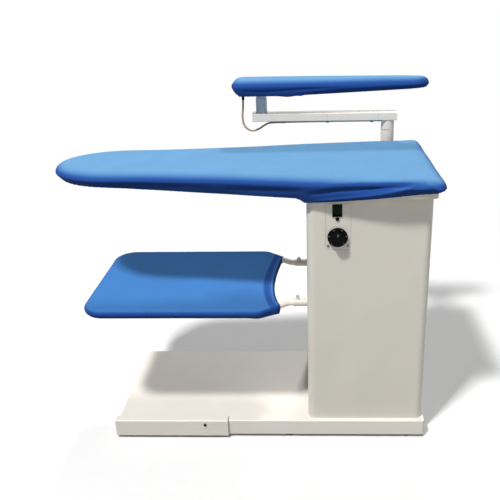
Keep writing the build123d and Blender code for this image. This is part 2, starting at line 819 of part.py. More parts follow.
def scroll_face(inset, level, more_reach):
    """Spiral outline round the fan axis, drawn in by an inset, with its throat open to the rear."""
    sweep_angle = 360 - scroll_throat_angle
    growth = (scroll_large - scroll_small) / sweep_angle
    spiral = []
    for step in range(scroll_points + 1):
        angle = scroll_throat_angle + sweep_angle * step / scroll_points
        radius = scroll_small + growth * (angle - scroll_throat_angle) - inset
        spiral.append(polar(radius, angle))
    inner_x = spiral[0][0] + inset / 2
    reach = scroll_reach + more_reach
    with BuildSketch(Plane((cab_x, centre_y, level))) as face:
        with BuildLine():
            Spline(*spiral)
            Polyline(spiral[-1], (spiral[-1][0], reach), (inner_x, reach), spiral[0])
        make_face()
    return face.sketch


with BuildPart() as fan_housing:
    extrude(scroll_face(0, scroll_low, 0), amount=scroll_height)
    hollow = scroll_face(sheet, scroll_low + sheet, overrun)
    extrude(hollow, amount=scroll_height - 2 * sheet, mode=Mode.SUBTRACT)
    shaft_hole = shaft_radius + 2 * sheet
    for level, radius in ((scroll_low, shaft_hole), (scroll_low + scroll_height, inlet_radius)):
        rod((cab_x, centre_y, level - overrun), UP, radius, 2 * overrun, Mode.SUBTRACT)
finish(fan_housing, "fan_housing")

# Impeller: back plate, hub, backward-curved blades and a shroud ring, on the motor's shaft
impeller_radius = 74
impeller_eye = 48
impeller_gap = 6
impeller_height = 52
blade_count = 9
blade_sheet = 1.5
blade_sweep_angle = 38
blade_bow_share = 0.4
hub_radius = 14
hub_height = 26
impeller_low = scroll_low + sheet + impeller_gap
impeller_high = impeller_low + impeller_height

with BuildPart() as fan_shaft:
    shaft_low = scroll_low - shaft_sink + shaft_seat
    rod((cab_x, centre_y, shaft_low), UP, shaft_radius, impeller_low + hub_height - shaft_low)
finish(fan_shaft, "fan_shaft")

with BuildPart() as fan_impeller:
    with BuildSketch(Plane((cab_x, centre_y, impeller_low))):
        Circle(impeller_radius)
    extrude(amount=blade_sheet)
    with BuildSketch(Plane((cab_x, centre_y, impeller_low))):
        Circle(hub_radius)
    extrude(amount=hub_height)
    with BuildSketch(Plane((cab_x, centre_y, impeller_low + blade_sheet))):
        for blade in range(blade_count):
            turn = 360 * blade / blade_count
            with BuildLine() as blade_line:
                ThreePointArc(
                    polar(impeller_eye, turn),
                    polar((impeller_radius + impeller_eye) / 2, turn - blade_bow_share * blade_sweep_angle),
                    polar(impeller_radius - blade_sheet, turn - blade_sweep_angle),
                )
            trace(blade_line.line, line_width=blade_sheet)
    extrude(amount=impeller_height - 2 * blade_sheet)
    with BuildSketch(Plane((cab_x, centre_y, impeller_high - blade_sheet))):
        Circle(impeller_radius)
        Circle(impeller_eye, mode=Mode.SUBTRACT)
    extrude(amount=blade_sheet)
    bore_start = (cab_x, centre_y, impeller_low - overrun)
    rod(bore_start, UP, shaft_radius + press_gap, hub_height + 2 * overrun, Mode.SUBTRACT)
finish(fan_impeller, "fan_impeller")

# Exhaust duct: square throat to round outlet
with BuildPart() as exhaust_duct:
    throat_y = centre_y + scroll_reach
    for wall in (0, exhaust_wall):
        mode = Mode.SUBTRACT if wall else Mode.ADD
        with BuildSketch(Plane(origin=(exhaust_x, throat_y, exhaust_z), x_dir=(1, 0, 0), z_dir=REAR)):
            Rectangle(throat_width - 2 * wall, scroll_height - 2 * wall)
        with BuildSketch(Plane(origin=(exhaust_x, cab_rear, exhaust_z), x_dir=(1, 0, 0), z_dir=REAR)):
            Circle(exhaust_radius - wall)
        loft(mode=mode)
finish(exhaust_duct, "exhaust_duct")

# Suction duct from the board pan down to the fan's inlet, with a flange at each end and swaged beads
pan_bottom = 844
duct_radius = 55
duct_wall = 2
duct_flange_radius = 67
duct_flange = 3
duct_bead = 3
duct_bead_shares = (0.25, 0.5, 0.75)
duct_low = scroll_low + scroll_height

with BuildPart() as suction_duct:
    duct_length = pan_bottom - duct_low
    with BuildSketch(Plane(origin=(cab_x, centre_y, duct_low), x_dir=(1, 0, 0), z_dir=FRONT)):
        with Locations((duct_radius, duct_length / 2)):
            Rectangle(duct_wall, duct_length, align=(Align.MIN, Align.CENTER))
        for end in (duct_flange / 2, duct_length - duct_flange / 2):
            with Locations((duct_radius, end)):
                Rectangle(duct_flange_radius - duct_radius, duct_flange, align=(Align.MIN, Align.CENTER))
        for share in duct_bead_shares:
            with Locations((duct_radius + duct_wall, share * duct_length)):
                Rectangle(duct_bead, 2 * duct_bead, align=(Align.MIN, Align.CENTER))
    revolve(axis=Axis((cab_x, centre_y, 0), UP))
finish(suction_duct, "suction_duct")

# Outlines of the two padded boards
Plan = namedtuple("Plan", "heel tip y half_width corner width_shares")

board_heel = base_right + heel_past_base
board_tip = base_left - nose_past_base
board_plan = Plan(
    heel=board_heel,
    tip=board_tip,
    y=centre_y,
    half_width=board_half_width,
    corner=20,
    width_shares=(
        (0.105, 0.988),
        (0.22, 0.931),
        (0.348, 0.859),
        (0.501, 0.742),
        (0.612, 0.685),
        (0.774, 0.625),
        (0.868, 0.6),
        (0.952, 0.431),
    ),
)

buck_length = 680
buck_tip = base_right + buck_past_base
buck_heel = buck_tip - buck_length
buck_plan = Plan(
    heel=buck_heel,
    tip=buck_tip,
    y=arm_y,
    half_width=buck_half_width,
    corner=40,
    width_shares=((0.3, 0.97), (0.6, 0.85), (0.86, 0.71), (0.965, 0.46)),
)


def plan_face(plan, inset, level):
    """A board's outline, drawn in by an inset: heel with round corners, splined flanks and round nose."""
    towards = 1 if plan.tip > plan.heel else -1
    length = abs(plan.tip - plan.heel)
    heel = plan.heel + towards * inset
    corner = plan.corner - inset / 2
    half = plan.half_width - inset
    flank = [(heel + towards * corner, half)]
    for along, width in plan.width_shares:
        flank.append((plan.heel + towards * along * length, plan.half_width * width - inset))
    flank.append((plan.tip - towards * inset, 0))
    with BuildSketch(Plane((0, plan.y, level))) as face:
        with BuildLine() as outline:
            Spline(*flank, tangents=[(towards, 0), (0, -1)])
            TangentArc(flank[0], (heel, half - corner), tangent=(-towards, 0))
            Line((heel, half - corner), (heel, 0))
            mirror(outline.line, about=Plane.XZ)
        make_face()
    return face.sketch


def below_line(plan, line, drop):
    """Everything under a board's underside line, as a block to cut away, moved by a drop."""
    floor = min(z for x, z in line) - drop - board_half_width
    points = [(x, z - drop) for x, z in line]
    points += [(points[-1][0], floor), (points[0][0], floor)]
    with BuildPart() as under:
        with BuildSketch(Plane.XZ.offset(-plan.y)):
            with BuildLine():
                Polyline(*points, close=True)
            make_face()
        extrude(amount=plan.half_width + overrun, both=True)
    return under.part


def cushion(plan, inset, line, drop, top, edge, lean_share):
    """A solid from a board's underside line up to a rounded top edge, its sides leaning in to the bottom."""
    low = min(z for x, z in line) - drop - overrun
    shoulder = top - edge - edge_band
    draw_in = lean_share * (shoulder - low)
    with BuildPart() as body:
        extrude(plan_face(plan, inset, shoulder), amount=top - shoulder)
        fillet(body.faces().sort_by(Axis.Z)[-1].edges(), radius=edge)
        loft([plan_face(plan, inset + draw_in, low), plan_face(plan, inset, shoulder)], ruled=True)
        add(below_line(plan, line, drop), mode=Mode.SUBTRACT)
    return body.part


# Board layers, from the cover down
cover_thick = 2.5
edge_band = 1.5
pad_thick = 14
grid_thick = 2
board_edge = 16
tuck = 24
pan_inset = 13
board_lean_share = 0.22
pan_taper = 17
hem_hang = 20
hem_heel_rise = 44
hem_fall = 19
hem_past_cabinet = 8
fall_end = cab_left - hem_past_cabinet
cover_inset = cover_thick + soft_gap
pan_nose_bottom = pan_bottom + pan_taper
hem_low = pan_bottom - hem_hang
hem_heel = hem_low + hem_heel_rise
pad_top = board_top - cover_thick - soft_gap
pad_low = pad_top - pad_thick
grid_low = pad_low - grid_thick
rim_top = grid_low

hem_line = [
    (board_tip - overrun, pan_nose_bottom - cover_inset),
    (fall_end - hem_fall, pan_bottom - cover_inset),
    (fall_end, hem_low),
    (board_heel + overrun, hem_heel),
]
pan_line = [
    (board_tip - overrun, pan_nose_bottom),
    (fall_end, pan_bottom),
    (board_heel + overrun, pan_bottom),
]
inner_line = [
    (board_tip - overrun, pan_nose_bottom),
    (fall_end, pan_bottom),
    (fall_end, hem_low - overrun),
    (board_heel + overrun, hem_low - overrun),
]

with BuildPart() as board_cover:
    add(cushion(board_plan, 0, hem_line, 0, board_top, board_edge, board_lean_share))
    inner_top = board_top - cover_thick
    inner_edge = board_edge - cover_thick
    add(
        cushion(board_plan, cover_thick, inner_line, soft_gap, inner_top, inner_edge, board_lean_share),
        mode=Mode.SUBTRACT,
    )
    opening = plan_face(board_plan, pan_inset + tuck, hem_low - overrun)
    extrude(opening, amount=rim_top - hem_low, mode=Mode.SUBTRACT)
finish(board_cover, "board_cover")

with BuildPart() as board_pad:
    extrude(plan_face(board_plan, cover_inset, pad_low), amount=pad_thick)
    fillet(board_pad.faces().sort_by(Axis.Z)[-1].edges(), radius=board_edge - cover_inset)
finish(board_pad, "board_pad")


def width_at(plan, along):
    """Half width of a board at a share of its length, read between the stations of its flank."""
    stations = [(0, 1)] + list(plan.width_shares) + [(1, 0)]
    for (start, wide), (end, narrow) in zip(stations, stations[1:]):
        if start <= along <= end:
            return plan.half_width * (wide + (narrow - wide) * (along - start) / (end - start))
    return 0


def slotted_plate(plan, inset, level, thick, slot, pitch, margin):
    """A top plate with rows of vacuum slots that keep a margin from the outline."""
    length = abs(plan.tip - plan.heel)
    towards = 1 if plan.tip > plan.heel else -1
    columns = int((length - 2 * margin) / pitch[0])
    places = []
    for column in range(columns + 1):
        along = margin + column * pitch[0]
        rows = int((width_at(plan, along / length) - margin) / pitch[1])
        for row in range(-rows, rows + 1):
            places.append((plan.heel + towards * along, plan.y + row * pitch[1], level + thick / 2))
    with BuildPart() as plate:
        extrude(plan_face(plan, inset, level), amount=thick)
        with Locations(*places):
            Box(slot[0], slot[1], 2 * thick, mode=Mode.SUBTRACT)
    return plate.part


# Vacuum slots in the board's top plate
board_slot = (34, 8)
board_pitch = (78, 52)
board_margin = 40

with BuildPart() as board_plate:
    slots = (board_slot, board_pitch, board_margin)
    add(slotted_plate(board_plan, pan_inset, grid_low, grid_thick, *slots))
finish(board_plate, "board_plate")

# Board pan: the vacuum chamber, level over the cabinet and shallower to the nose, with cross ribs inside
pan_wall = 1.5
heater_radius = 4
heater_gap = 3
rib_thick = 2
rib_step_shares = (0.28, 0.62, 0.8)
heater_z = grid_low - heater_gap - heater_radius
rib_top = heater_z - heater_radius - soft_gap

with BuildPart() as board_pan:
    extrude(plan_face(board_plan, pan_inset, pan_bottom), amount=rim_top - pan_bottom)
    add(below_line(board_plan, pan_line, 0), mode=Mode.SUBTRACT)
    with BuildPart(mode=Mode.PRIVATE) as pan_hollow:
        floor = pan_bottom + pan_wall
        extrude(plan_face(board_plan, pan_inset + pan_wall, floor), amount=board_top - floor)
        add(below_line(board_plan, pan_line, -pan_wall), mode=Mode.SUBTRACT)
        for share in rib_step_shares:
            x = board_heel - share * (board_heel - board_tip)
            block(
                (x - rib_thick / 2, x + rib_thick / 2),
                (centre_y - board_half_width, centre_y + board_half_width),
                (pan_bottom, rib_top),
                mode=Mode.SUBTRACT,
            )
    add(pan_hollow.part, mode=Mode.SUBTRACT)
    rod((cab_x, centre_y, pan_bottom - overrun), UP, duct_radius, 2 * overrun, Mode.SUBTRACT)
    with Locations(*[(x, y, pan_bottom) for x, y in cabinet_bolt_places]):
        Cylinder(bolt_radius + hole_gap, 2 * overrun, mode=Mode.SUBTRACT)
finish(board_pan, "board_pan")

# Board heater: one long serpentine tube under the top plate, resting on the ribs
heater_margin = 46
heater_bend = 24
heater_lead = 60
heater_far_share = 0.86
heater_inner_share = 0.4


def heater_tube(plan, tube_radius, level, margin, bend, lead, far_share):
    """A serpentine heating tube: along one flank, across the nose and back, with a hairpin inside."""
    towards = 1 if plan.tip > plan.heel else -1
    length = abs(plan.tip - plan.heel)
    near = plan.heel + towards * lead
    far = plan.heel + towards * far_share * length
    middle = (near + far) / 2
    outer_near = width_at(plan, lead / length) - margin
    outer_middle = width_at(plan, (lead / length + far_share) / 2) - margin
    outer_far = width_at(plan, far_share) - margin
    inner_near = heater_inner_share * outer_near
    inner_far = heater_inner_share * outer_far
    points = [
        (middle, -outer_middle, 0),
        (far, -outer_far, 0),
        (far, outer_far, 0),
        (middle, outer_middle, 0),
        (near, outer_near, 0),
        (near, inner_near, 0),
        (far - towards * 2 * margin, inner_far, 0),
        (far - towards * 2 * margin, -inner_far, 0),
        (near, -inner_near, 0),
    ]
    with BuildPart() as tube:
        with BuildLine(Plane((0, plan.y, level))) as route:
            FilletPolyline(*points, radius=bend)
        with BuildSketch(Plane(origin=route.line @ 0, z_dir=route.line % 0)):
            Circle(tube_radius)
        sweep()
    return tube.part


with BuildPart() as board_heater:
    course = (heater_margin, heater_bend, heater_lead, heater_far_share)
    add(heater_tube(board_plan, heater_radius, heater_z, *course))
finish(board_heater, "board_heater")

# Gasket between the cabinet's top flange and the pan, drawn in so that it reads as a dark gap
gasket_inset = 10
gasket_width = 12

with BuildPart() as board_gasket:
    with BuildSketch(Plane.XY.offset(cabinet_top)):
        with Locations((cab_x, centre_y)):
            outer = 2 * gasket_inset
            inner = 2 * (gasket_inset + gasket_width)
            RectangleRounded(cabinet_width - outer, cabinet_depth - outer, cabinet_corner - gasket_inset)
            Rectangle(cabinet_width - inner, cabinet_depth - inner, mode=Mode.SUBTRACT)
    extrude(amount=pan_bottom - cabinet_top)
    with Locations(*[(x, y, cabinet_top) for x, y in cabinet_bolt_places]):
        Cylinder(bolt_radius + hole_gap, 3 * overrun, mode=Mode.SUBTRACT)
finish(board_gasket, "board_gasket")

# Bolts of one thread: cabinet to base, board through the gasket to the cabinet's top, and post bracket
board_bolt_reach = pan_bottom - cabinet_top + pan_wall

with BuildPart() as frame_bolts:
    for x, y in cabinet_bolt_places:
        reach = 2 * sheet + nut_height
        screw((x, y, base_top + sheet), UP, bolt_head_radius, nut_height, bolt_radius, reach)
        shank = sheet + board_bolt_reach + nut_height
        screw((x, y, cabinet_top - sheet), DOWN, bolt_head_radius, nut_height, bolt_radius, shank)
    for x, z in bracket_bolt_places:
        shank = bracket_sheet + sheet + nut_height
        screw((x, cab_rear + bracket_sheet, z), REAR, bolt_head_radius, nut_height, bolt_radius, shank)
finish(frame_bolts, "frame_bolts")

with BuildPart() as frame_nuts:
    for x, y in foot_places:
        add(hexagon_ring((x, y, base_under), DOWN, nut_flats, foot_stud_radius + press_gap, nut_height))
    for x, y in cabinet_bolt_places:
        add(hexagon_ring((x, y, base_top - sheet), DOWN, nut_flats, bolt_radius + press_gap, nut_height))
        nut_start = (x, y, cabinet_top + board_bolt_reach)
        add(hexagon_ring(nut_start, UP, nut_flats, bolt_radius + press_gap, nut_height))
    for x, z in bracket_bolt_places:
        add(hexagon_ring((x, cab_rear - sheet, z), FRONT, nut_flats, bolt_radius + press_gap, nut_height))
finish(frame_nuts, "frame_nuts")

# Shelf sockets: short tubes through the cabinet's left wall, flanged inside, each with a welded clamp nut
shelf_tube_radius = 10
shelf_tube_wall = 2
socket_inside = 6
clamp_from_end = 14
clamp_nut_flats = 12
clamp_nut_height = 4
clamp_screw_radius = 3
clamp_head_radius = 5
clamp_head_height = 6
socket_end = cab_left - socket_out
clamp_x = socket_end + clamp_from_end

with BuildPart() as shelf_sockets:
    for side in (-1, 1):
        y = centre_y + side * socket_half_span
        rod((socket_end, y, socket_z), RIGHT, socket_radius, socket_out + sheet + socket_inside)
        rod((cab_left + sheet, y, socket_z), RIGHT, socket_flange_radius, socket_flange)
        nut_reach = socket_radius + clamp_nut_height
        middle = (clamp_x, y, socket_z)
        add(hexagon_ring(middle, UP, clamp_nut_flats, clamp_screw_radius, nut_reach))
        bore = shelf_tube_radius + hole_gap
        bore_length = socket_out + 3 * overrun + sheet
        rod((socket_end - overrun, y, socket_z), RIGHT, bore, bore_length, Mode.SUBTRACT)
        rod(middle, UP, clamp_screw_radius + press_gap, nut_reach + overrun, Mode.SUBTRACT)
finish(shelf_sockets, "shelf_sockets")

with BuildPart() as shelf_clamp_screws:
    for side in (-1, 1):
        y = centre_y + side * socket_half_span
        seat_z = socket_z + socket_radius + clamp_nut_height
        shank = seat_z - socket_z - shelf_tube_radius
        screw((clamp_x, y, seat_z), UP, clamp_head_radius, clamp_head_height, clamp_screw_radius, shank)
finish(shelf_clamp_screws, "shelf_clamp_screws")

# Shelf frame: one tube bent to a wide U, drawn in to the sockets
shelf_half_span = 219
shelf_left_past = 62
shelf_neck = 14
shelf_splay_angle = 38
shelf_corner = 58
shelf_bend = 34
shelf_tube_in = 40
frame_left = base_left - shelf_left_past
neck_x = socket_end - shelf_neck
splay_x = neck_x - (shelf_half_span - socket_half_span) / tan(radians(shelf_splay_angle))


def shelf_route(start_x, start_half):
    """Corner points of the shelf's U from the front end round to the rear end."""
    front = [(start_x, -start_half)]
    if start_x > neck_x:
        front.append((neck_x, -socket_half_span))
    front += [(splay_x, -shelf_half_span), (frame_left, -shelf_half_span)]
    rear = [(x, -y) for x, y in reversed(front)]
    return [(x, y, 0) for x, y in front + rear]


def shelf_radii(points):
    """Large radii at the shelf's outer corners and small ones at its bends."""
    return [shelf_corner if x == frame_left else shelf_bend for x, y, z in points[1:-1]]


def shelf_sweep(points, outer, inner):
    """A tube swept along the shelf's U."""
    with BuildPart() as tube:
        with BuildLine(Plane((0, centre_y, socket_z))) as route:
            FilletPolyline(*points, radius=shelf_radii(points))
        with BuildSketch(Plane(origin=route.line @ 0, z_dir=route.line % 0)):
            Circle(outer)
            Circle(inner, mode=Mode.SUBTRACT)
        sweep()
    return tube.part


frame_points = shelf_route(socket_end + shelf_tube_in, socket_half_span)
with BuildPart() as shelf_frame:
    add(shelf_sweep(frame_points, shelf_tube_radius, shelf_tube_radius - shelf_tube_wall))
finish(shelf_frame, "shelf_frame")

# Shelf cloth: a sleeve sewn round the tube and a sling across it, its cabinet edge drawn in
cloth_thick = 2.4
cloth_edge_from_cabinet = 90
cloth_draw_in = 23
sleeve_outer = shelf_tube_radius + soft_gap + cloth_thick
cloth_edge = cab_left - cloth_edge_from_cabinet
cloth_half = shelf_half_span - (cloth_edge - splay_x) * tan(radians(shelf_splay_angle))
cloth_points = shelf_route(cloth_edge, cloth_half)

with BuildPart() as shelf_cloth:
    sling_low = shelf_tube_radius + soft_gap
    with BuildSketch(Plane((0, centre_y, socket_z + sling_low))):
        with BuildLine() as edge:
            FilletPolyline(*[(x, y) for x, y, z in cloth_points], radius=shelf_radii(cloth_points))
            middle = (cloth_edge - cloth_draw_in, 0)
            ThreePointArc((cloth_edge, cloth_half), middle, (cloth_edge, -cloth_half))
        make_face()
    extrude(amount=cloth_thick)
    add(shelf_sweep(cloth_points, sleeve_outer, shelf_tube_radius + soft_gap))
finish(shelf_cloth, "shelf_cloth")

# Post bracket: back plate on the cabinet's rear wall, two shelves bored for the post and a web between them
with BuildPart() as post_bracket:
    across = (post_x - bracket_width / 2, post_x + bracket_width / 2)
    shelf_levels = (bracket_low + bracket_shelf_inset, bracket_high - bracket_shelf_inset - bracket_shelf)
    block(across, (cab_rear, cab_rear + bracket_sheet), (bracket_low, bracket_high))
    for level in shelf_levels:
        with BuildSketch(Plane.XY.offset(level)):
            with BuildLine():
                half = bracket_width / 2 - 2 * bracket_bolt_inset + bracket_shelf
                Polyline(
                    (post_x - bracket_reach, arm_y),
                    (post_x - half, cab_rear),
                    (post_x + half, cab_rear),
                    (post_x + bracket_reach, arm_y),
                )
                RadiusArc((post_x + bracket_reach, arm_y), (post_x - bracket_reach, arm_y), -bracket_reach)
            make_face()
        extrude(amount=bracket_shelf)
    block(
        (post_x - bracket_shelf / 2, post_x + bracket_shelf / 2),
        (cab_rear, arm_y),
        (shelf_levels[0], shelf_levels[1]),
    )
    bore_start = (post_x, arm_y, bracket_low - overrun)
    rod(bore_start, UP, post_radius + running_gap, bracket_high - bracket_low, Mode.SUBTRACT)
    for x, z in bracket_bolt_places:
        rod((x, cab_rear - overrun, z), REAR, bolt_radius + hole_gap, 3 * overrun, Mode.SUBTRACT)
finish(post_bracket, "post_bracket")

# Arm post: fixed tube, closed below, with two bushes for the pivot shaft; the top one's rim carries the hub
arm_low = 961
arm_high = 989
arm_depth = 50
arm_length = 507
arm_right_out = 30
hub_low = 928
post_ring_height = 3
post_ring_step = 0.6
bush_height = 30
bush_spacing = 120
pivot_radius = 15
pivot_sink = 10
post_top = hub_low - slip_gap - post_ring_height
bush_levels = (post_top - bush_height, post_top - bush_height - bush_spacing)

with BuildPart() as arm_post:
    add(ring((post_x, arm_y, post_low), UP, post_radius, post_radius - post_wall, post_top - post_low))
    rod((post_x, arm_y, post_low), UP, post_radius, post_wall)
finish(arm_post, "arm_post")

with BuildPart() as post_bushes:
    for level in bush_levels:
        outer = post_radius - post_wall - press_gap
        add(ring((post_x, arm_y, level), UP, outer, pivot_radius + running_gap, bush_height))
    rim = (post_x, arm_y, post_top)
    add(ring(rim, UP, post_radius - post_ring_step, pivot_radius + running_gap, post_ring_height))
finish(post_bushes, "post_bushes")

# Arm: hub with its pivot shaft, hub block, two box beams joined by an inner coupling, and a tip block
block_length = 66
beam_joint = 198
beam_wall = 2.5
beam_edge = 2.5
spigot_length = 24
spigot_gap = 0.1
seam_gap = 0.4
coupling_length = 60
arm_right = post_x + arm_right_out
arm_left = arm_right - arm_length
hub_block_left = arm_right - block_length
tip_block_right = arm_left + block_length
beam_seam = tip_block_right + beam_joint
spigot_half_depth = arm_depth / 2 - beam_wall - spigot_gap
spigot_half_height = (arm_high - arm_low) / 2 - beam_wall - spigot_gap
arm_z = (arm_low + arm_high) / 2
cable_radius = 3.5
cable_stand = 1.5
cable_inside = 6
cable_in_hub = 6
cable_run_z = arm_low - cable_stand - cable_radius
buck_post_in = 32
buck_post_x = arm_left + buck_post_in


def arm_bar(x_limits):
    """A stretch of the arm's outer section with softened long edges."""
    with BuildPart() as bar:
        with BuildSketch(Plane.YZ.offset(x_limits[0])):
            with Locations((arm_y, arm_z)):
                RectangleRounded(arm_depth, arm_high - arm_low, beam_edge)
        extrude(amount=x_limits[1] - x_limits[0])
    return bar.part


def arm_core(x_limits, mode=Mode.ADD):
    """A stretch of the arm's inner section, as a spigot or coupling."""
    y_limits = (arm_y - spigot_half_depth, arm_y + spigot_half_depth)
    block(x_limits, y_limits, (arm_z - spigot_half_height, arm_z + spigot_half_height), mode)


def arm_beam(x_limits):
    """A stretch of hollow box beam."""
    with BuildPart() as beam:
        add(arm_bar(x_limits))
        block(
            (x_limits[0] - overrun, x_limits[1] + overrun),
            (arm_y - arm_depth / 2 + beam_wall, arm_y + arm_depth / 2 - beam_wall),
            (arm_low + beam_wall, arm_high - beam_wall),
            mode=Mode.SUBTRACT,
        )
    return beam.part


arm_screw_radius = 3
arm_screw_xs = (
    hub_block_left - spigot_length / 2,
    tip_block_right + spigot_length / 2,
    beam_seam - coupling_length / 4,
    beam_seam + coupling_length / 4,
)
arm_screw_side = 12
arm_screw_height = beam_wall + spigot_half_height


def arm_screw_holes():
    """Threaded holes for the arm's grub screws, from below."""
    for x in arm_screw_xs:
        for side in (-1, 1):
            start = (x, arm_y + side * arm_screw_side, arm_low - overrun)
            depth = overrun + arm_screw_height + slip_gap
            rod(start, UP, arm_screw_radius + press_gap, depth, Mode.SUBTRACT)


with BuildPart() as arm_hub:
    rod((post_x, arm_y, hub_low), UP, post_radius, arm_low - hub_low)
    mouth = (post_x - post_radius - overrun, arm_y, cable_run_z)
    rod(mouth, RIGHT, cable_radius + hole_gap, overrun + cable_in_hub + slip_gap, Mode.SUBTRACT)
    pivot_low = bush_levels[1] - pivot_sink
    rod((post_x, arm_y, pivot_low), UP, pivot_radius, arm_low + pivot_sink - pivot_low)
finish(arm_hub, "arm_hub")

with BuildPart() as arm_hub_block:
    add(arm_bar((hub_block_left + seam_gap / 2, arm_right)))
    arm_core((hub_block_left - spigot_length, hub_block_left + block_length / 2))
    bore_start = (post_x, arm_y, arm_low - overrun)
    rod(bore_start, UP, pivot_radius + press_gap, overrun + pivot_sink + slip_gap, Mode.SUBTRACT)
    arm_screw_holes()
finish(arm_hub_block, "arm_hub_block")

with BuildPart() as arm_beams:
    add(arm_beam((beam_seam + seam_gap / 2, hub_block_left - seam_gap / 2)))
    add(arm_beam((tip_block_right + seam_gap / 2, beam_seam - seam_gap / 2)))
    arm_screw_holes()
finish(arm_beams, "arm_beams")

with BuildPart() as arm_coupling:
    arm_core((beam_seam - coupling_length / 2, beam_seam + coupling_length / 2))
    arm_screw_holes()
finish(arm_coupling, "arm_coupling")

# Buck post on the tip block, bored for the buck's spindle
buck_post_radius = 19.5
buck_spindle_head = 18
buck_seam = 1042
buck_under = 1058
buck_spindle_radius = 12
spindle_floor = 3
spindle_end_gap = 1
spindle_sink = buck_seam - arm_high - spindle_floor - spindle_end_gap

with BuildPart() as arm_tip_block:
    add(arm_bar((arm_left, tip_block_right - seam_gap / 2)))
    arm_core((tip_block_right - block_length / 2, tip_block_right + spigot_length))
    arm_screw_holes()
finish(arm_tip_block, "arm_tip_block")

with BuildPart() as arm_screws:
    for x in arm_screw_xs:
        for side in (-1, 1):
            rod((x, arm_y + side * arm_screw_side, arm_low), UP, arm_screw_radius, arm_screw_height)
finish(arm_screws, "arm_screws")

with BuildPart() as buck_post:
    rod((buck_post_x, arm_y, arm_high), UP, buck_post_radius, buck_seam - arm_high)
    bore_start = (buck_post_x, arm_y, arm_high + spindle_floor)
    rod(bore_start, UP, buck_spindle_radius + running_gap, buck_seam - arm_high, Mode.SUBTRACT)
finish(buck_post, "buck_post")

# Buck layers, built like the board's at a smaller size
buck_edge = 13
buck_tuck = 14
buck_pan_inset = 10
buck_lean_share = 0.15
buck_pad_thick = 12
buck_grid_thick = 1.5
buck_nose_under = 1076
buck_rise_from = 190
buck_rake = 26
buck_rake_high = 1086
buck_plate_length = 110
buck_plate_width = 64
buck_plate_corner = 6
buck_line = [
    (buck_heel - overrun, buck_rake_high),
    (buck_heel, buck_rake_high),
    (buck_heel + buck_rake, buck_under),
    (buck_heel + buck_rise_from, buck_under),
    (buck_tip + overrun, buck_nose_under),
]
buck_pad_top = buck_top - cover_thick - soft_gap
buck_pad_low = buck_pad_top - buck_pad_thick
buck_grid_low = buck_pad_low - buck_grid_thick

with BuildPart() as buck_cover:
    add(cushion(buck_plan, 0, buck_line, 0, buck_top, buck_edge, buck_lean_share))
    inner_top = buck_top - cover_thick
    inner_edge = buck_edge - cover_thick
    add(
        cushion(buck_plan, cover_thick, buck_line, -cover_thick, inner_top, inner_edge, buck_lean_share),
        mode=Mode.SUBTRACT,
    )
    opening = plan_face(buck_plan, buck_pan_inset + buck_tuck, buck_under - overrun)
    extrude(opening, amount=buck_rake_high - buck_under, mode=Mode.SUBTRACT)
finish(buck_cover, "buck_cover")

with BuildPart() as buck_pad:
    extrude(plan_face(buck_plan, cover_inset, buck_pad_low), amount=buck_pad_thick)
    fillet(buck_pad.faces().sort_by(Axis.Z)[-1].edges(), radius=buck_edge - cover_inset)
finish(buck_pad, "buck_pad")

buck_slot = (24, 6)
buck_pitch = (62, 34)
buck_margin = 22

with BuildPart() as buck_plate:
    slots = (buck_slot, buck_pitch, buck_margin)
    add(slotted_plate(buck_plan, buck_pan_inset, buck_grid_low, buck_grid_thick, *slots))
finish(buck_plate, "buck_plate")

cable_in = 36
cable_x = buck_heel + cable_in
cable_hole_gap = 0.8

with BuildPart() as buck_pan:
    low = buck_under + cover_inset
    extrude(plan_face(buck_plan, buck_pan_inset, low), amount=buck_grid_low - low)
    add(below_line(buck_plan, buck_line, -cover_inset), mode=Mode.SUBTRACT)
    with BuildPart(mode=Mode.PRIVATE) as buck_hollow:
        extrude(plan_face(buck_plan, buck_pan_inset + pan_wall, low), amount=buck_top - low)
        add(below_line(buck_plan, buck_line, -cover_inset - pan_wall), mode=Mode.SUBTRACT)
    add(buck_hollow.part, mode=Mode.SUBTRACT)
    cable_start = (cable_x, arm_y, buck_under - overrun)
    rod(cable_start, UP, cable_radius + cable_hole_gap, 3 * overrun, Mode.SUBTRACT)
finish(buck_pan, "buck_pan")

with BuildPart() as buck_spindle:
    head_low = buck_seam + slip_gap
    rod((buck_post_x, arm_y, head_low), UP, buck_spindle_head, buck_under - head_low)
    rod((buck_post_x, arm_y, head_low), DOWN, buck_spindle_radius, spindle_sink)
    with BuildSketch(Plane((buck_post_x, arm_y, buck_under))):
        RectangleRounded(buck_plate_length, buck_plate_width, buck_plate_corner)
    extrude(amount=cover_inset)
finish(buck_spindle, "buck_spindle")

# Buck heater: a hairpin tube under the top plate
buck_heater_radius = 3
buck_heater_margin = 22
buck_heater_bend = 8
buck_heater_far_share = 0.9
buck_heater_z = buck_grid_low - soft_gap - buck_heater_radius

with BuildPart() as buck_heater:
    lead = buck_heater_margin + buck_heater_bend
    course = (buck_heater_margin, buck_heater_bend, lead, buck_heater_far_share)
    add(heater_tube(buck_plan, buck_heater_radius, buck_heater_z, *course))
finish(buck_heater, "buck_heater")

# Buck cable: from a boot under the buck, down in a loop, up to the arm and along its underside into the hub
cable_top = buck_under + cover_inset + cable_inside
cable_end_x = post_x - post_radius + cable_in_hub
cable_bend_share = 0.45
cable_loop_length = 102
cable_loop = ((0, 44), (-6, 84), (0, 118), (24, 136), (52, 129), (76, 111))
cable_route = [
    (cable_x, cable_top),
    *[(cable_x + along, buck_under - drop) for along, drop in cable_loop],
    (cable_x + cable_loop_length, cable_run_z),
    (cable_end_x, cable_run_z),
]


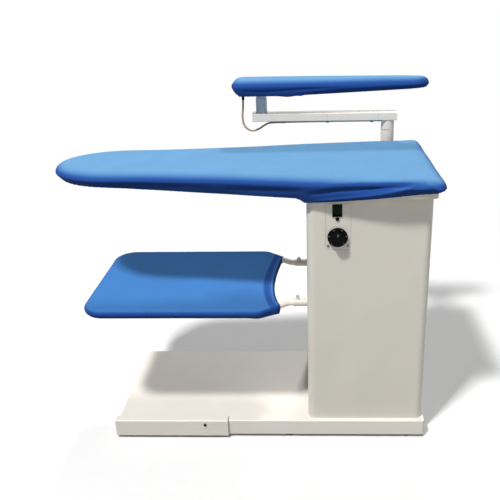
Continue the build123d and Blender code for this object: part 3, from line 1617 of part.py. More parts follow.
def route_radii(points):
    """For each corner, the radius of an arc that takes up a share of the corner's shorter run."""
    radii = []
    for before, here, after in zip(points, points[1:], points[2:]):
        run_in = Vector(*here) - Vector(*before)
        run_out = Vector(*after) - Vector(*here)
        turn = radians(run_in.get_angle(run_out))
        radii.append(cable_bend_share * min(run_in.length, run_out.length) / tan(turn / 2))
    return radii


with BuildPart() as buck_cable:
    cable_radii = route_radii(cable_route)
    with BuildLine(Plane(origin=(0, arm_y, 0), x_dir=(1, 0, 0), z_dir=FRONT)) as route:
        FilletPolyline(*cable_route, radius=cable_radii)
    with BuildSketch(Plane(origin=route.line @ 0, z_dir=route.line % 0)):
        Circle(cable_radius)
    sweep()
    cable_length = sum(edge.length for edge in route.edges())
full_volume = cable_length * pi * cable_radius**2
print("cable length", round(cable_length, 1), "radii", [round(radius, 1) for radius in cable_radii])
print("cable volume over section times length", round(buck_cable.part.volume / full_volume, 4))
finish(buck_cable, "buck_cable")

# Rubber boot on the cable under the buck, and three saddle clips that hold the cable to the arm
boot_length = 25
boot_radius = 5
boot_flange_radius = 9
boot_flange = 2.3
clip_length = 10
clip_wall = 1.5
clip_tab = 7
clip_shares = (0.1, 0.5, 0.9)

with BuildPart() as cable_boot:
    boot_top = buck_under + cover_inset - slip_gap
    boot_bore = cable_radius + press_gap
    add(ring((cable_x, arm_y, boot_top), DOWN, boot_radius, boot_bore, boot_length))
    add(ring((cable_x, arm_y, boot_top), DOWN, boot_flange_radius, boot_bore, boot_flange))
finish(cable_boot, "cable_boot")

with BuildPart() as cable_clips:
    run_start = cable_route[-2][0]
    for share in clip_shares:
        x = run_start + share * (cable_end_x - run_start)
        half = clip_length / 2
        strap = cable_radius + clip_wall
        block((x - half, x + half), (arm_y - strap, arm_y + strap), (cable_run_z - strap, arm_low))
        tabs = strap + clip_tab
        block((x - half, x + half), (arm_y - tabs, arm_y + tabs), (arm_low - clip_wall, arm_low))
        bore_start = (x - clip_length, arm_y, cable_run_z)
        rod(bore_start, RIGHT, cable_radius + press_gap, 2 * clip_length, Mode.SUBTRACT)
finish(cable_clips, "cable_clips")
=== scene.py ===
"""Looks of an industrial vacuum ironing table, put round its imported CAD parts.

Lengths are in metres, in the frame of the CAD parts: +X to the board's wide heel, +Y to the rear and +Z up,
with the floor at z = 0.
"""

from typing import NamedTuple

import bmesh
import bpy
import numpy as np
from bpy.props import FloatProperty, FloatVectorProperty, PointerProperty
from mathutils import Matrix, Vector


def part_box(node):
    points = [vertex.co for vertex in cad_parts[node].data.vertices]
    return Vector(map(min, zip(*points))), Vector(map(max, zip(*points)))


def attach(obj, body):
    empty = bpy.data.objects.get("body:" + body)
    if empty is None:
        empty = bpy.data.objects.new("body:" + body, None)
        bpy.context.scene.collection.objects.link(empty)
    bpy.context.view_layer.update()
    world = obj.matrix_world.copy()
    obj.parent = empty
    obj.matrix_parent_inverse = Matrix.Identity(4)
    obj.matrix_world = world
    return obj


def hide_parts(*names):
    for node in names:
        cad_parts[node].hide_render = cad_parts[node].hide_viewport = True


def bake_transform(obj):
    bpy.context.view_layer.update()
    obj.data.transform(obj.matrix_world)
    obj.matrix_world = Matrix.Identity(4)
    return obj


bl_info = {
    "name": "Ironing table looks",
    "version": (1, 0, 0),
    "blender": (4, 5, 0),
    "location": "3D View > Sidebar > Ironing table",
    "description": "Covers, cloth shelf, cable, spring, dial and finishes of an ironing table in a studio",
    "category": "Object",
}

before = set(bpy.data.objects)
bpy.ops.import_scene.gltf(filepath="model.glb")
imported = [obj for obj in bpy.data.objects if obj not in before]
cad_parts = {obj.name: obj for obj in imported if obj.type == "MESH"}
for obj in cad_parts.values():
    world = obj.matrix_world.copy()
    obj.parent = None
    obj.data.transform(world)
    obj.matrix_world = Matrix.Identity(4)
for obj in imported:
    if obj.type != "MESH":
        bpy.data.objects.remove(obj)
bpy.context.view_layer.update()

MM = 0.001


def linear(code):
    """An sRGB hex colour as the linear red, green and blue that a shader takes."""
    parts = [int(code[at : at + 2], 16) / 255 for at in (1, 3, 5)]
    return tuple(part / 12.92 if part <= 0.04045 else ((part + 0.055) / 1.055) ** 2.4 for part in parts)


# Lines of points


def unit(vectors):
    """Vectors made one long, each kept in its direction."""
    return vectors / np.linalg.norm(vectors, axis=-1, keepdims=True)


def run_along(points, axis=0):
    """The length of a line up to each of its points, for all lines along one axis of an array."""
    steps = np.linalg.norm(np.diff(points, axis=axis), axis=-1)
    return np.insert(np.cumsum(steps, axis=axis), 0, 0, axis=axis)


def evenly(points, samples, closed=False):
    """A line of points, read again at even steps along its length. A closed line ends a step early."""
    if closed:
        points = np.vstack([points, points[:1]])
    along = run_along(points)
    at = np.linspace(0, along[-1], samples, endpoint=not closed)
    return np.stack([np.interp(at, along, axis) for axis in points.T], axis=1)


def smooth_curve(points, start_slope, end_slope, samples):
    """Points on a smooth curve through given points, with a given unit slope at each end.

    Each stretch is a cubic in the length of its chord, and neighbours share their slope and bend.
    """
    points = np.array(points, float)
    chord = np.linalg.norm(np.diff(points, axis=0), axis=1)
    count = len(points)
    inner = np.arange(1, count - 1)
    matrix = np.zeros((count, count))
    matrix[0, 0] = matrix[-1, -1] = 1
    matrix[inner, inner - 1] = 1 / chord[:-1]
    matrix[inner, inner] = 2 / chord[:-1] + 2 / chord[1:]
    matrix[inner, inner + 1] = 1 / chord[1:]
    rate = np.diff(points, axis=0) / chord[:, None] ** 2
    wanted = np.vstack([start_slope, 3 * (rate[:-1] + rate[1:]), end_slope])
    slopes = np.linalg.solve(matrix, wanted)
    knots = run_along(points)
    at = np.linspace(0, knots[-1], samples)
    stretch = np.clip(np.searchsorted(knots, at, side="right") - 1, 0, count - 2)
    length = chord[stretch][:, None]
    t = (at - knots[stretch])[:, None] / length
    start = (2 * t**3 - 3 * t**2 + 1) * points[stretch] + (t**3 - 2 * t**2 + t) * length * slopes[stretch]
    end = (3 * t**2 - 2 * t**3) * points[stretch + 1] + (t**3 - t**2) * length * slopes[stretch + 1]
    return start + end


# Outlines of the two padded boards


class Plan(NamedTuple):
    """A board's outline: a square heel with round corners, flanks that narrow by shares, a round tip."""

    heel: float
    tip: float
    y: float
    half_width: float
    corner: float
    width_shares: tuple


def plan_of(cover_node, heel_side, corner, width_shares):
    """The outline of a padded board, from its cover's box in the frame."""
    low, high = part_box(cover_node)
    heel, tip = (high.x, low.x) if heel_side > 0 else (low.x, high.x)
    return Plan(heel, tip, (low.y + high.y) / 2, (high.y - low.y) / 2, corner, width_shares)


# Shares of the length from the heel, and of the half width there
BOARD_WIDTHS = (
    (0.105, 0.988),
    (0.22, 0.931),
    (0.348, 0.859),
    (0.501, 0.742),
    (0.612, 0.685),
    (0.774, 0.625),
    (0.868, 0.6),
    (0.952, 0.431),
)
BUCK_WIDTHS = ((0.3, 0.97), (0.6, 0.85), (0.86, 0.71), (0.965, 0.46))
BOARD = plan_of("board_cover", 1, 20 * MM, BOARD_WIDTHS)
BUCK = plan_of("buck_cover", -1, 40 * MM, BUCK_WIDTHS)
BOARD_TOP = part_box("board_cover")[1].z
BUCK_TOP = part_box("buck_cover")[1].z
BUCK_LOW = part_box("buck_cover")[0].z
CABINET_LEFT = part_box("cabinet_shell")[0].x
CORNER_STEPS = 16
FLANK_STEPS = 400


def outline(plan, count):
    """A board's outline as even points, and the direction out of it at each.

    Half of it runs from the heel's middle round a quarter circle and along the flank to the tip, and the
    other half mirrors it.
    """
    towards = 1 if plan.tip > plan.heel else -1
    length = abs(plan.tip - plan.heel)
    turn = np.linspace(0, np.pi / 2, CORNER_STEPS)[1:-1, None]
    centre = np.array([plan.heel + towards * plan.corner, plan.half_width - plan.corner])
    arc = centre + plan.corner * np.hstack([-towards * np.cos(turn), np.sin(turn)])
    flank = [(centre[0], plan.half_width)]
    for share, wide in plan.width_shares:
        flank.append((plan.heel + towards * share * length, plan.half_width * wide))
    flank.append((plan.tip, 0))
    side = smooth_curve(flank, (towards, 0), (0, -1), FLANK_STEPS)
    half = np.vstack([[(plan.heel, 0)], arc, side])
    whole = np.vstack([half, half[-2:0:-1] * [1, -1]])
    if towards > 0:
        whole = np.roll(whole[::-1], 1, axis=0)
    points = evenly(whole, count, closed=True)
    slope = unit(np.roll(points, -1, axis=0) - np.roll(points, 1, axis=0))
    outward = np.stack([slope[:, 1], -slope[:, 0]], axis=1)
    return points + [0, plan.y], outward


# Meshes

WELD = 0.05 * MM
FINE_WELD = 0.001 * MM


def grid_faces(rows, columns, closed):
    """The quads between rows and columns of a grid, whose columns may close into a ring."""
    last = columns if closed else columns - 1
    row, column = np.meshgrid(np.arange(rows - 1), np.arange(last), indexing="ij")
    here, after = row * columns + column, row * columns + (column + 1) % columns
    return np.stack([here, here + columns, after + columns, after], axis=-1).reshape(-1, 4)


def new_piece(name, points, faces, weld=FINE_WELD, uv=None, outwards=False, upwards=False):
    """A smooth-shaded object from points and faces, with doubles merged.

    Faces point the way their grid gives them. Closed pieces may have them turned outwards, and sheets so
    that most of them look up. The UV map holds one pair for each corner of each face.
    """
    mesh = bpy.data.meshes.new(name)
    points = np.asarray(points).reshape(-1, 3)
    mesh.from_pydata(points.tolist(), [], [list(map(int, face)) for face in faces])
    if uv is not None:
        mesh.uv_layers.new(name="cloth").uv.foreach_set("vector", np.asarray(uv, np.float32).ravel())
    piece = bpy.data.objects.new(name, mesh)
    bpy.context.scene.collection.objects.link(piece)
    work = bmesh.new()
    work.from_mesh(mesh)
    bmesh.ops.remove_doubles(work, verts=work.verts, dist=weld)
    if outwards:
        bmesh.ops.recalc_face_normals(work, faces=work.faces)
    if upwards and sum(face.normal.z * face.calc_area() for face in work.faces) < 0:
        bmesh.ops.reverse_faces(work, faces=work.faces)
    work.to_mesh(mesh)
    work.free()
    mesh.shade_smooth()
    return piece


def give_wall(piece, thickness):
    """Turn a surface into cloth of a thickness, which grows inwards from it."""
    wall = piece.modifiers.new("wall", "SOLIDIFY")
    wall.thickness, wall.offset, wall.use_rim = thickness, -1.0, True
    graph = bpy.context.evaluated_depsgraph_get()
    graph.update()
    mesh = bpy.data.meshes.new_from_object(piece.evaluated_get(graph))
    piece.modifiers.clear()
    piece.data = mesh
    mesh.shade_smooth()


def tube_piece(name, line, radius, sides, up):
    """A round tube along a line, closed by a flat cap at each end.

    At each point stands a circle square to the line's slope, turned to keep near one up direction.
    """
    line = np.asarray(line, float)
    slope = unit(np.gradient(line, axis=0))
    side = unit(np.cross(slope, up))
    lift = np.cross(side, slope)
    turn = np.linspace(0, 2 * np.pi, sides, endpoint=False)[None, :, None]
    grid = line[:, None] + radius * (np.cos(turn) * side[:, None] + np.sin(turn) * lift[:, None])
    last = (len(line) - 1) * sides
    caps = [list(range(sides)), list(range(last, last + sides))]
    faces = grid_faces(len(line), sides, True).tolist() + caps
    return new_piece(name, grid, faces, outwards=True)


def curve_mesh(curve):
    """The points and faces that Blender makes of a curve. The curve is used up."""
    holder = bpy.data.objects.new(curve.name, curve)
    mesh = bpy.data.meshes.new_from_object(holder)
    points = np.empty(len(mesh.vertices) * 3)
    mesh.vertices.foreach_get("co", points)
    faces = [list(face.vertices) for face in mesh.polygons]
    bpy.data.objects.remove(holder)
    bpy.data.curves.remove(curve)
    bpy.data.meshes.remove(mesh)
    return points.reshape(-1, 3), faces


# Shader nodes

WHITE = (1, 1, 1, 1)


def feed(made, inputs):
    """Give a node's inputs their values, or link the sockets that feed them."""
    for key, value in inputs.items():
        if isinstance(value, bpy.types.NodeSocket):
            made.id_data.links.new(value, made.inputs[key])
        else:
            made.inputs[key].default_value = value


def node(tree, kind, inputs=None, **settings):
    """A shader node of a kind, with its settings and what its inputs take."""
    made = tree.nodes.new("ShaderNode" + kind)
    for key, value in settings.items():
        setattr(made, key, value)
    feed(made, inputs or {})
    return made


def maths(operation, *values):
    """A sum on values, of which the first is a socket."""
    return node(values[0].id_data, "Math", dict(enumerate(values)), operation=operation).outputs[0]


def remap(value, start, end, low=0.0, high=1.0, kind="LINEAR"):
    """A value carried from one span to another, and held at that one's ends."""
    spans = {"Value": value, "From Min": start, "From Max": end, "To Min": low, "To Max": high}
    return node(value.id_data, "MapRange", spans, interpolation_type=kind).outputs["Result"]


def mix(share, first, second):
    """A colour between two, by a share."""
    return node(share.id_data, "Mix", {0: share, 6: first, 7: second}, data_type="RGBA").outputs[2]


def mix_shaders(share, first, second):
    """A surface or light between two, by a share."""
    return node(share.id_data, "MixShader", {0: share, 1: first, 2: second}).outputs[0]


def noise(place, size, detail=2.0):
    """Cloudy noise whose lumps are about as wide as the size."""
    inputs = {"Vector": place, "Scale": 1 / size, "Detail": detail}
    return node(place.id_data, "TexNoise", inputs).outputs["Fac"]


def cells(place, size):
    """The distance to the middle of the nearest cell, for cells about as wide as the size."""
    return node(place.id_data, "TexVoronoi", {"Vector": place, "Scale": 1 / size}).outputs["Distance"]


def relief(height, strength, distance):
    """The normal of a surface that a height raises by up to a distance."""
    inputs = {"Height": height, "Strength": strength, "Distance": distance}
    return node(height.id_data, "Bump", inputs).outputs["Normal"]


def tinted(colour, factor=1.0):
    """A linear colour, lighter or darker by a factor, with alpha."""
    return (*[min(1, part * factor) for part in colour], 1)


def shade(code, factor=1.0):
    """A hex colour, lighter or darker by a factor, as a linear colour with alpha."""
    return tinted(linear(code), factor)


# Materials: each look works out what a Principled shader takes, from each point's place on the object


def stoved_enamel(place, colour, roughness=0.38, peel_height=0.04 * MM):
    """Stoved enamel on sheet steel: an even satin coat with a faint orange peel and slight clouding."""
    clouding = remap(noise(place, 180 * MM, 3.0), 0.35, 0.7)
    return {
        "Base Color": mix(clouding, tinted(colour, 0.955), tinted(colour)),
        "Normal": relief(noise(place, 2.5 * MM, 1.0), 0.25, peel_height),
        "Roughness": roughness,
        "Coat Weight": 0.12,
        "Coat Roughness": 0.2,
    }


def brushed_metal(place, code, roughness, grain=1.2 * MM, stretch=30.0):
    """Rolled or turned metal: fine lines along one way and a roughness that wanders with them."""
    drawn = node(place.id_data, "Mapping", {"Vector": place, "Scale": (1 / stretch, 1.0, 1.0)})
    lines = noise(drawn.outputs["Vector"], grain)
    return {
        "Base Color": shade(code),
        "Metallic": 1.0,
        "Roughness": remap(lines, 0, 1, roughness - 0.08, roughness + 0.1),
        "Normal": relief(lines, 0.15, 0.05 * MM),
    }


def zinc_plate(place, code):
    """Bright zinc plating: soft crystal patches that differ a little in tone and gloss."""
    flakes = cells(place, 14 * MM)
    return {
        "Base Color": mix(flakes, shade(code, 0.86), shade(code, 1.06)),
        "Metallic": 1.0,
        "Roughness": remap(flakes, 0, 1, 0.3, 0.5),
    }


def moulded_plastic(place, code, roughness, grit=0.7 * MM, shine=0.22):
    """Moulded plastic: a fine spark-eroded grain and a slightly mottled gloss."""
    grain = noise(place, grit)
    return {
        "Base Color": shade(code),
        "Specular IOR Level": shine,
        "Roughness": remap(grain, 0, 1, roughness - 0.05, roughness + 0.08),
        "Normal": relief(grain, 0.2, 0.04 * MM),
    }


def sponge(place, code, pore):
    """Felt, foam or sponge rubber: matt, with small pores."""
    pores = cells(place, pore)
    return {
        "Base Color": mix(pores, shade(code, 0.75), shade(code)),
        "Normal": relief(pores, 0.4, 0.3 * MM),
        "Roughness": 0.95,
    }


def lit_lens(place, code, glow):
    """Dyed acrylic over a small lamp: glossy, uneven in its depth, with a weak glow of its own."""
    return {
        "Base Color": mix(noise(place, 6 * MM), shade(code, 0.7), shade(code, 1.2)),
        "Roughness": 0.28,
        "Specular IOR Level": 0.06,
        "Emission Color": shade(code),
        "Emission Strength": glow,
    }


STITCH_STEP = 4 * MM
STITCH_ROW = 10 * MM
STITCH_HALF_WIDTH = 0.6 * MM
HEM_TAPE = 3.5 * MM


def woven_cotton(place, ironed, side, thread, facing=0.0):
    """Plain-woven cotton, dye-coloured: warp and weft cross as two sets of waves, with a faint fuzz.

    Threads are drawn coarser than the real half millimetre, so that they show from a step away. The surface
    that faces up is paler, partly as steam and the iron bleach it and partly as painted light on the top, and
    the side gets darker where it turns to face down towards its hem, as painted shade. A row of lockstitch
    runs above the hem, read from the UV map's metres. The hem's edge is dark tape. Where a band width is
    given, a band of the cloth at about that distance from the hem's fold is drawn in the side's darker tone.
    """
    tree = place.id_data
    coordinates = node(tree, "TexCoord").outputs
    across = node(tree, "Mapping", {"Vector": place, "Scale": (0.0, 1.0, 1.0)}).outputs["Vector"]
    waves = {"Scale": 0.05 / thread, "Distortion": 0.5, "Detail": 1.0, "Detail Scale": 2.0}
    warp = node(tree, "TexWave", {"Vector": place, **waves}, bands_direction="X").outputs["Fac"]
    weft = node(tree, "TexWave", {"Vector": across, **waves}, bands_direction="DIAGONAL").outputs["Fac"]
    weave = maths("MULTIPLY", warp, weft)
    mottling = maths("MULTIPLY_ADD", weave, 0.4, noise(place, 90 * MM, 3.0))
    lightness = remap(mottling, 0.3, 1.1, 0.94, 1.05)

    # Painted light and shade by the surface normal: what faces up takes the paler top colour, partly bleach
    # and partly painted light, and the side darkens where it faces down, as painted shade
    level = node(tree, "SeparateXYZ", {0: coordinates["Normal"]}).outputs["Z"]
    bleach_and_top_light = maths("POWER", remap(level, 0.42, 0.998), 2.6)
    side_painted_shade = mix(remap(level, -0.5, 0.35), tinted(side, 0.55), tinted(side, 1.05))
    cloth = mix(bleach_and_top_light, side_painted_shade, tinted(ironed))

    along, above = node(tree, "SeparateXYZ", {0: coordinates["UV"]}).outputs[:2]
    # A darker band drawn at a given distance from the hem's fold, in the side's tone
    if facing:
        inner = remap(above, 0.2 * facing, 0.55 * facing, kind="SMOOTHSTEP")
        outer = remap(above, 1.15 * facing, 0.85 * facing, kind="SMOOTHSTEP")
        cloth = mix(maths("MULTIPLY", inner, outer), cloth, tinted(side, 1.15))
    cloth = node(tree, "VectorMath", {0: cloth, "Scale": lightness}, operation="SCALE").outputs[0]

    in_row = maths("COMPARE", above, STITCH_ROW, STITCH_HALF_WIDTH)
    in_step = maths("FRACT", maths("MULTIPLY", along, 1 / STITCH_STEP))
    stitch = maths("MULTIPLY", in_row, maths("LESS_THAN", in_step, 0.68))
    darker = maths("MAXIMUM", stitch, maths("LESS_THAN", above, HEM_TAPE))
    return {
        "Base Color": mix(darker, cloth, tinted(side, 0.45)),
        "Normal": relief(maths("MULTIPLY_ADD", stitch, 2.0, weave), 0.4, 0.22 * MM),
        "Roughness": 0.85,
        "Sheen Weight": 0.04,
        "Sheen Roughness": 0.5,
        "Specular IOR Level": 0.1,
    }


def matt_paper(place):
    """Pale matt paper with faint fibres."""
    return {"Base Color": mix(noise(place, 40 * MM), shade("#F4F4F3"), shade("#F8F8F7")), "Roughness": 0.9}


def material(name, look, *settings, **more):
    """A new material whose Principled shader takes what a look makes of its settings."""
    made = bpy.data.materials.new(name)
    made.use_nodes = True
    tree = made.node_tree
    place = node(tree, "TexCoord").outputs["Object"]
    feed(tree.nodes["Principled BSDF"], look(place, *settings, **more))
    return made


FLOOR_DULL = (0.3, 0.3, 0.3, 1)
FLOOR_FADE = (0.9, 2.4)


def pale_floor():
    """Paper that keeps the table's shadow, and goes over to plain white away from it.

    Light that bounces off it onto the table comes from a duller paper, so that the underside stays dark.
    """
    made = material("pale paper", matt_paper)
    tree = made.node_tree
    place = node(tree, "TexCoord").outputs["Object"]
    reach = node(tree, "VectorMath", {0: place}, operation="LENGTH").outputs["Value"]
    away = remap(reach, *FLOOR_FADE, kind="SMOOTHSTEP")
    path = node(tree, "LightPath").outputs
    seen = maths("MAXIMUM", path["Is Camera Ray"], path["Is Glossy Ray"])
    dull = node(tree, "BsdfDiffuse", {"Color": FLOOR_DULL}).outputs[0]
    white = node(tree, "Emission", {"Color": WHITE, "Strength": 1.0}).outputs[0]
    paper = mix_shaders(seen, dull, tree.nodes["Principled BSDF"].outputs[0])
    surface = mix_shaders(maths("MULTIPLY", away, seen), paper, white)
    feed(tree.nodes["Material Output"], {"Surface": surface})
    return made


def dress(piece, look):
    """Give a piece one material in place of what it has."""
    piece.data.materials.clear()
    piece.data.materials.append(look)


# What a user may change


def length_setting(name, description, size):
    """A length that a user may change."""
    return FloatProperty(name=name, description=description, default=size, unit="LENGTH")


def colour_setting(name, description, code):
    """A colour that a user may change."""
    return FloatVectorProperty(name=name, description=description, default=linear(code), subtype="COLOR")


class CoverSizes(bpy.types.PropertyGroup):
    """Sizes of the padded covers and the cloth shelf."""

    edge: length_setting("Edge width", "Width of the rounding along the board's top", 44 * MM)
    crown: length_setting("Crown", "How far the padding rises to the middle", 3 * MM)
    draw_in: length_setting("Draw-in", "How far the cover's side goes in to its hem", 12 * MM)
    sag: length_setting("Shelf sag", "How far the cloth shelf hangs in its middle", 11 * MM)
    thread: length_setting("Thread", "Width of a thread as drawn", 1.3 * MM)


class TableColours(bpy.types.PropertyGroup):
    """Colours that the table comes in."""

    # Cotton is the covers' top colour, paler partly from bleaching and partly as painted light; Cotton, sides
    # is darker, partly unbleached and partly as painted shade
    cotton: colour_setting("Cotton", "Colour of the covers where they are ironed on", "#6599C3")
    cotton_side: colour_setting("Cotton, sides", "Colour of the covers' unbleached sides", "#234E9A")
    canvas: colour_setting("Canvas", "Colour of the cloth shelf", "#3F79BA")
    enamel: colour_setting("Enamel", "Colour of the cabinet", "#E2DED2")
    base_enamel: colour_setting("Base enamel", "Colour of the base and its pedal", "#F0EAE0")
    arm_enamel: colour_setting("Arm enamel", "Colour of the arm and the shelf's tube", "#F8EEE0")
    post_enamel: colour_setting("Post enamel", "Colour of the sleeve board's post", "#C0CDD4")


# Covers

HEM_TURN = 1.5 * MM
COTTON_THICK = 1.2 * MM
EDGE_HEIGHT = 24 * MM
PAN_GAP = 2 * MM
PAN_CLEAR = 11.3 * MM
PAN_NOSE, PAN_LEVEL, FALL_END = 861 * MM, 844 * MM, CABINET_LEFT - 8 * MM
TUCK, TUCK_MORE, TUCK_FADE = 5 * MM, 15 * MM, 30 * MM

# Height of the board cover's hem over its length
HEM_STATIONS = (
    (-0.6045, 0.854),
    (-0.575, 0.8545),
    (-0.496, 0.8545),
    (-0.432, 0.854),
    (-0.37, 0.852),
    (-0.311, 0.8485),
    (-0.25, 0.846),
    (-0.13, 0.8415),
    (0.019, 0.837),
    (0.150, 0.8355),
    (0.164, 0.830),
    (0.175, 0.8225),
    (0.221, 0.8255),
    (0.278, 0.830),
    (0.334, 0.836),
    (0.389, 0.842),
    (0.444, 0.849),
    (0.499, 0.856),
    (0.5695, 0.862),
)


def pan_underside(x):
    """Height just under the board's pan, which falls evenly from its nose to the cabinet."""
    return np.interp(x, (BOARD.tip, FALL_END), (PAN_NOSE, PAN_LEVEL)) - PAN_GAP


def board_hem(x):
    """Height of the board cover's hem, which stays under the pan as far as the cabinet."""
    along, height = np.array(HEM_STATIONS).T
    hem = np.interp(x, along, height)
    return np.where(x < FALL_END, np.minimum(hem, pan_underside(x)), hem)


def board_tuck(x):
    """How far the board cover's hem runs in and up under the pan: less where the cabinet is in its way."""
    under_pan = np.clip((FALL_END - x) / TUCK_FADE, 0, 1)
    return TUCK + TUCK_MORE * under_pan, under_pan * (pan_underside(x) - board_hem(x))


BUCK_EDGE, BUCK_EDGE_HEIGHT, BUCK_CROWN, BUCK_DRAW_IN = 34 * MM, 24 * MM, 1.5 * MM, 7 * MM
BUCK_RAKE = 26 * MM
BUCK_RAKE_HEM = 1073 * MM
BUCK_RISE_FROM = 190 * MM
BUCK_NOSE_HEM = 1076 * MM
BUCK_HEM_PAST = 2 * MM
BUCK_TUCK = 12 * MM
KNOT_X, KNOT_WIDTH, KNOT_DROP = 122 * MM, 26 * MM, 3.4 * MM
KNOT_TAIL_X, KNOT_TAIL_WIDTH, KNOT_TAIL_SHARE = 164 * MM, 9 * MM, 0.7


def bell(x, middle, width):
    """A bell curve: e to the power of minus the square of the distance in widths."""
    return np.exp(-(((x - middle) / width) ** 2))


def buck_hem(x):
    """Height of the buck cover's hem: a raked heel, level, a slow rise to the tip, and a knot under it."""
    stations = [BUCK.heel, BUCK.heel + BUCK_RAKE, BUCK.heel + BUCK_RISE_FROM, BUCK.tip]
    hem = np.interp(x, stations, [BUCK_RAKE_HEM, BUCK_LOW, BUCK_LOW, BUCK_NOSE_HEM]) - BUCK_HEM_PAST
    knot = bell(x, KNOT_X, KNOT_WIDTH) + KNOT_TAIL_SHARE * bell(x, KNOT_TAIL_X, KNOT_TAIL_WIDTH)
    return hem - KNOT_DROP * knot


def buck_tuck(x):
    """How far the buck cover's hem runs in under its pan, and that it stays level."""
    return np.full_like(x, BUCK_TUCK), np.zeros_like(x)


# Rows of a cover's grid: over its top, round its edge, down its side and round its hem, then under the pan
TOP_ROWS, EDGE_ROWS, SIDE_ROWS, HEM_ROWS = 18, 10, 22, 4
TUCK_SHARES = (0.35, 0.7, 1.0)
BOARD_COLUMNS, BUCK_COLUMNS, CROWN_SAMPLES = 640, 420, 800
SPINE_FROM_HEEL, SPINE_FROM_TIP = 0.8, 0.45
SIDE_CURVE = 1.3


class Cover(NamedTuple):
    """A cover's grid of points, and at each the way out, how far down and in its side, along and up it is."""

    grid: np.ndarray
    out: np.ndarray
    down: np.ndarray
    inset: np.ndarray
    along: np.ndarray
    above_hem: np.ndarray


def spine_of(plan, points):
    """The point on the board's middle line that each outline point is joined to."""
    towards = 1 if plan.tip > plan.heel else -1
    near_heel = plan.heel + towards * SPINE_FROM_HEEL * plan.half_width
    near_tip = plan.tip - towards * SPINE_FROM_TIP * plan.half_width
    along = np.clip(points[:, 0], *sorted((near_heel, near_tip)))
    return np.stack([along, np.full(len(points), plan.y)], axis=1)


def crown_of(plan, grid, rise):
    """How far padding rises: its rise times one less the square of the share of the half width.

    It is flat at both ends, by one less the share of the half length to the power 8.
    """
    points = outline(plan, CROWN_SAMPLES)[0]
    flank = points[points[:, 1] > plan.y]
    order = np.argsort(flank[:, 0])
    half = np.interp(grid[..., 0], flank[order, 0], flank[order, 1] - plan.y)
    across = np.clip((grid[..., 1] - plan.y) / np.maximum(half, 1 * MM), -1, 1)
    middle, reach = (plan.heel + plan.tip) / 2, abs(plan.tip - plan.heel) / 2
    along = np.clip((grid[..., 0] - middle) / reach, -1, 1)
    return rise * (1 - across**2) * (1 - along**8)


def cover_rings(points, outward, spine, top, hem, tuck, edge, edge_height, draw_in):
    """The rings of a fitted cover, each as its points, height, lean, share down the side and inset.

    The edge is a quarter of an ellipse, narrower where the spine is near. The side goes in by the draw-in,
    and less where it is shallow. The hem is a quarter turn, and runs in under the board from there.
    """
    depth = top - edge_height - hem - HEM_TURN
    draw = np.minimum(draw_in, 0.6 * depth)
    reach = np.linalg.norm(points - spine, axis=1)
    column = unit(points - spine)
    slant = np.clip(np.sum(column * outward, axis=1), 0.6, 1)
    column *= np.minimum(edge / slant, 0.85 * reach)[:, None]
    inner = points - column
    for share in np.linspace(0, 1, TOP_ROWS) ** 0.8:
        yield spine + share * (inner - spine), top, 0.0, 0.0, 0.0
    for turn in np.linspace(0, np.pi / 2, EDGE_ROWS)[1:]:
        height = top - edge_height * (1 - np.cos(turn))
        yield points - (1 - np.sin(turn)) * column, height, turn, 0.0, 0.0
    for share in np.linspace(0, 1, SIDE_ROWS)[1:]:
        inset = draw * share**SIDE_CURVE
        height = top - edge_height - depth * share
        yield points - inset[:, None] * outward, height, np.pi / 2 + 0.3 * share**0.3, share, inset
    for turn in np.linspace(0, np.pi / 2, HEM_ROWS)[1:]:
        inset = draw + HEM_TURN * (1 - np.cos(turn))
        height = hem + HEM_TURN * (1 - np.sin(turn))
        yield points - inset[:, None] * outward, height, np.pi / 2 + turn, 1.0, 0.0
    run, rise = tuck
    for share in TUCK_SHARES:
        inset = draw + HEM_TURN + share * run
        yield points - inset[:, None] * outward, hem + share * rise, np.pi, 1.0, 0.0


def fitted_cover(plan, top, hem_of, tuck_of, edge, edge_height, crown, draw_in, count):
    """A fitted cover as rows of points, from the middle of its top round the edge to a hem turned under."""
    points, outward = outline(plan, count)
    hem, tuck = hem_of(points[:, 0]), tuck_of(points[:, 0])
    spine = spine_of(plan, points)
    rings = list(cover_rings(points, outward, spine, top, hem, tuck, edge, edge_height, draw_in))
    grid = np.array([np.column_stack([at, np.broadcast_to(height, count)]) for at, height, *_ in rings])
    grid[..., 2] += crown_of(plan, grid, crown)
    lean, down, inset = (np.array([np.broadcast_to(ring[at], count) for ring in rings]) for at in (2, 3, 4))
    out = np.concatenate([np.sin(lean)[..., None] * outward, np.cos(lean)[..., None]], axis=2)
    fallen = run_along(grid)
    hem_row = len(rings) - 1 - len(TUCK_SHARES)
    along = np.broadcast_to(run_along(points), grid.shape[:2])
    return Cover(grid, out, down, inset, along, fallen[hem_row] - fallen)


def fold(across, height, points, width, rise):
    """How far a long fold lifts a side's points: its rise times a bell curve of the distance from it.

    The fold is a line of points on that side, in millimetres, and fades to nothing at both ends.
    """
    line = np.array(points) * MM
    knots = run_along(line) / run_along(line)[-1]
    at = np.stack([across, height], axis=-1)
    near = np.full(across.shape, np.inf)
    share = np.zeros(across.shape)
    for start, end, knot, next_knot in zip(line[:-1], line[1:], knots[:-1], knots[1:]):
        run = end - start
        part = np.clip(((at - start) @ run) / (run @ run), 0, 1)
        away = np.linalg.norm(at - start - part[..., None] * run, axis=-1)
        share = np.where(away < near, knot + part * (next_knot - knot), share)
        near = np.minimum(near, away)
    return rise * MM * np.sin(np.pi * np.clip(share, 0, 1)) ** 0.6 * bell(near, 0, width * MM)


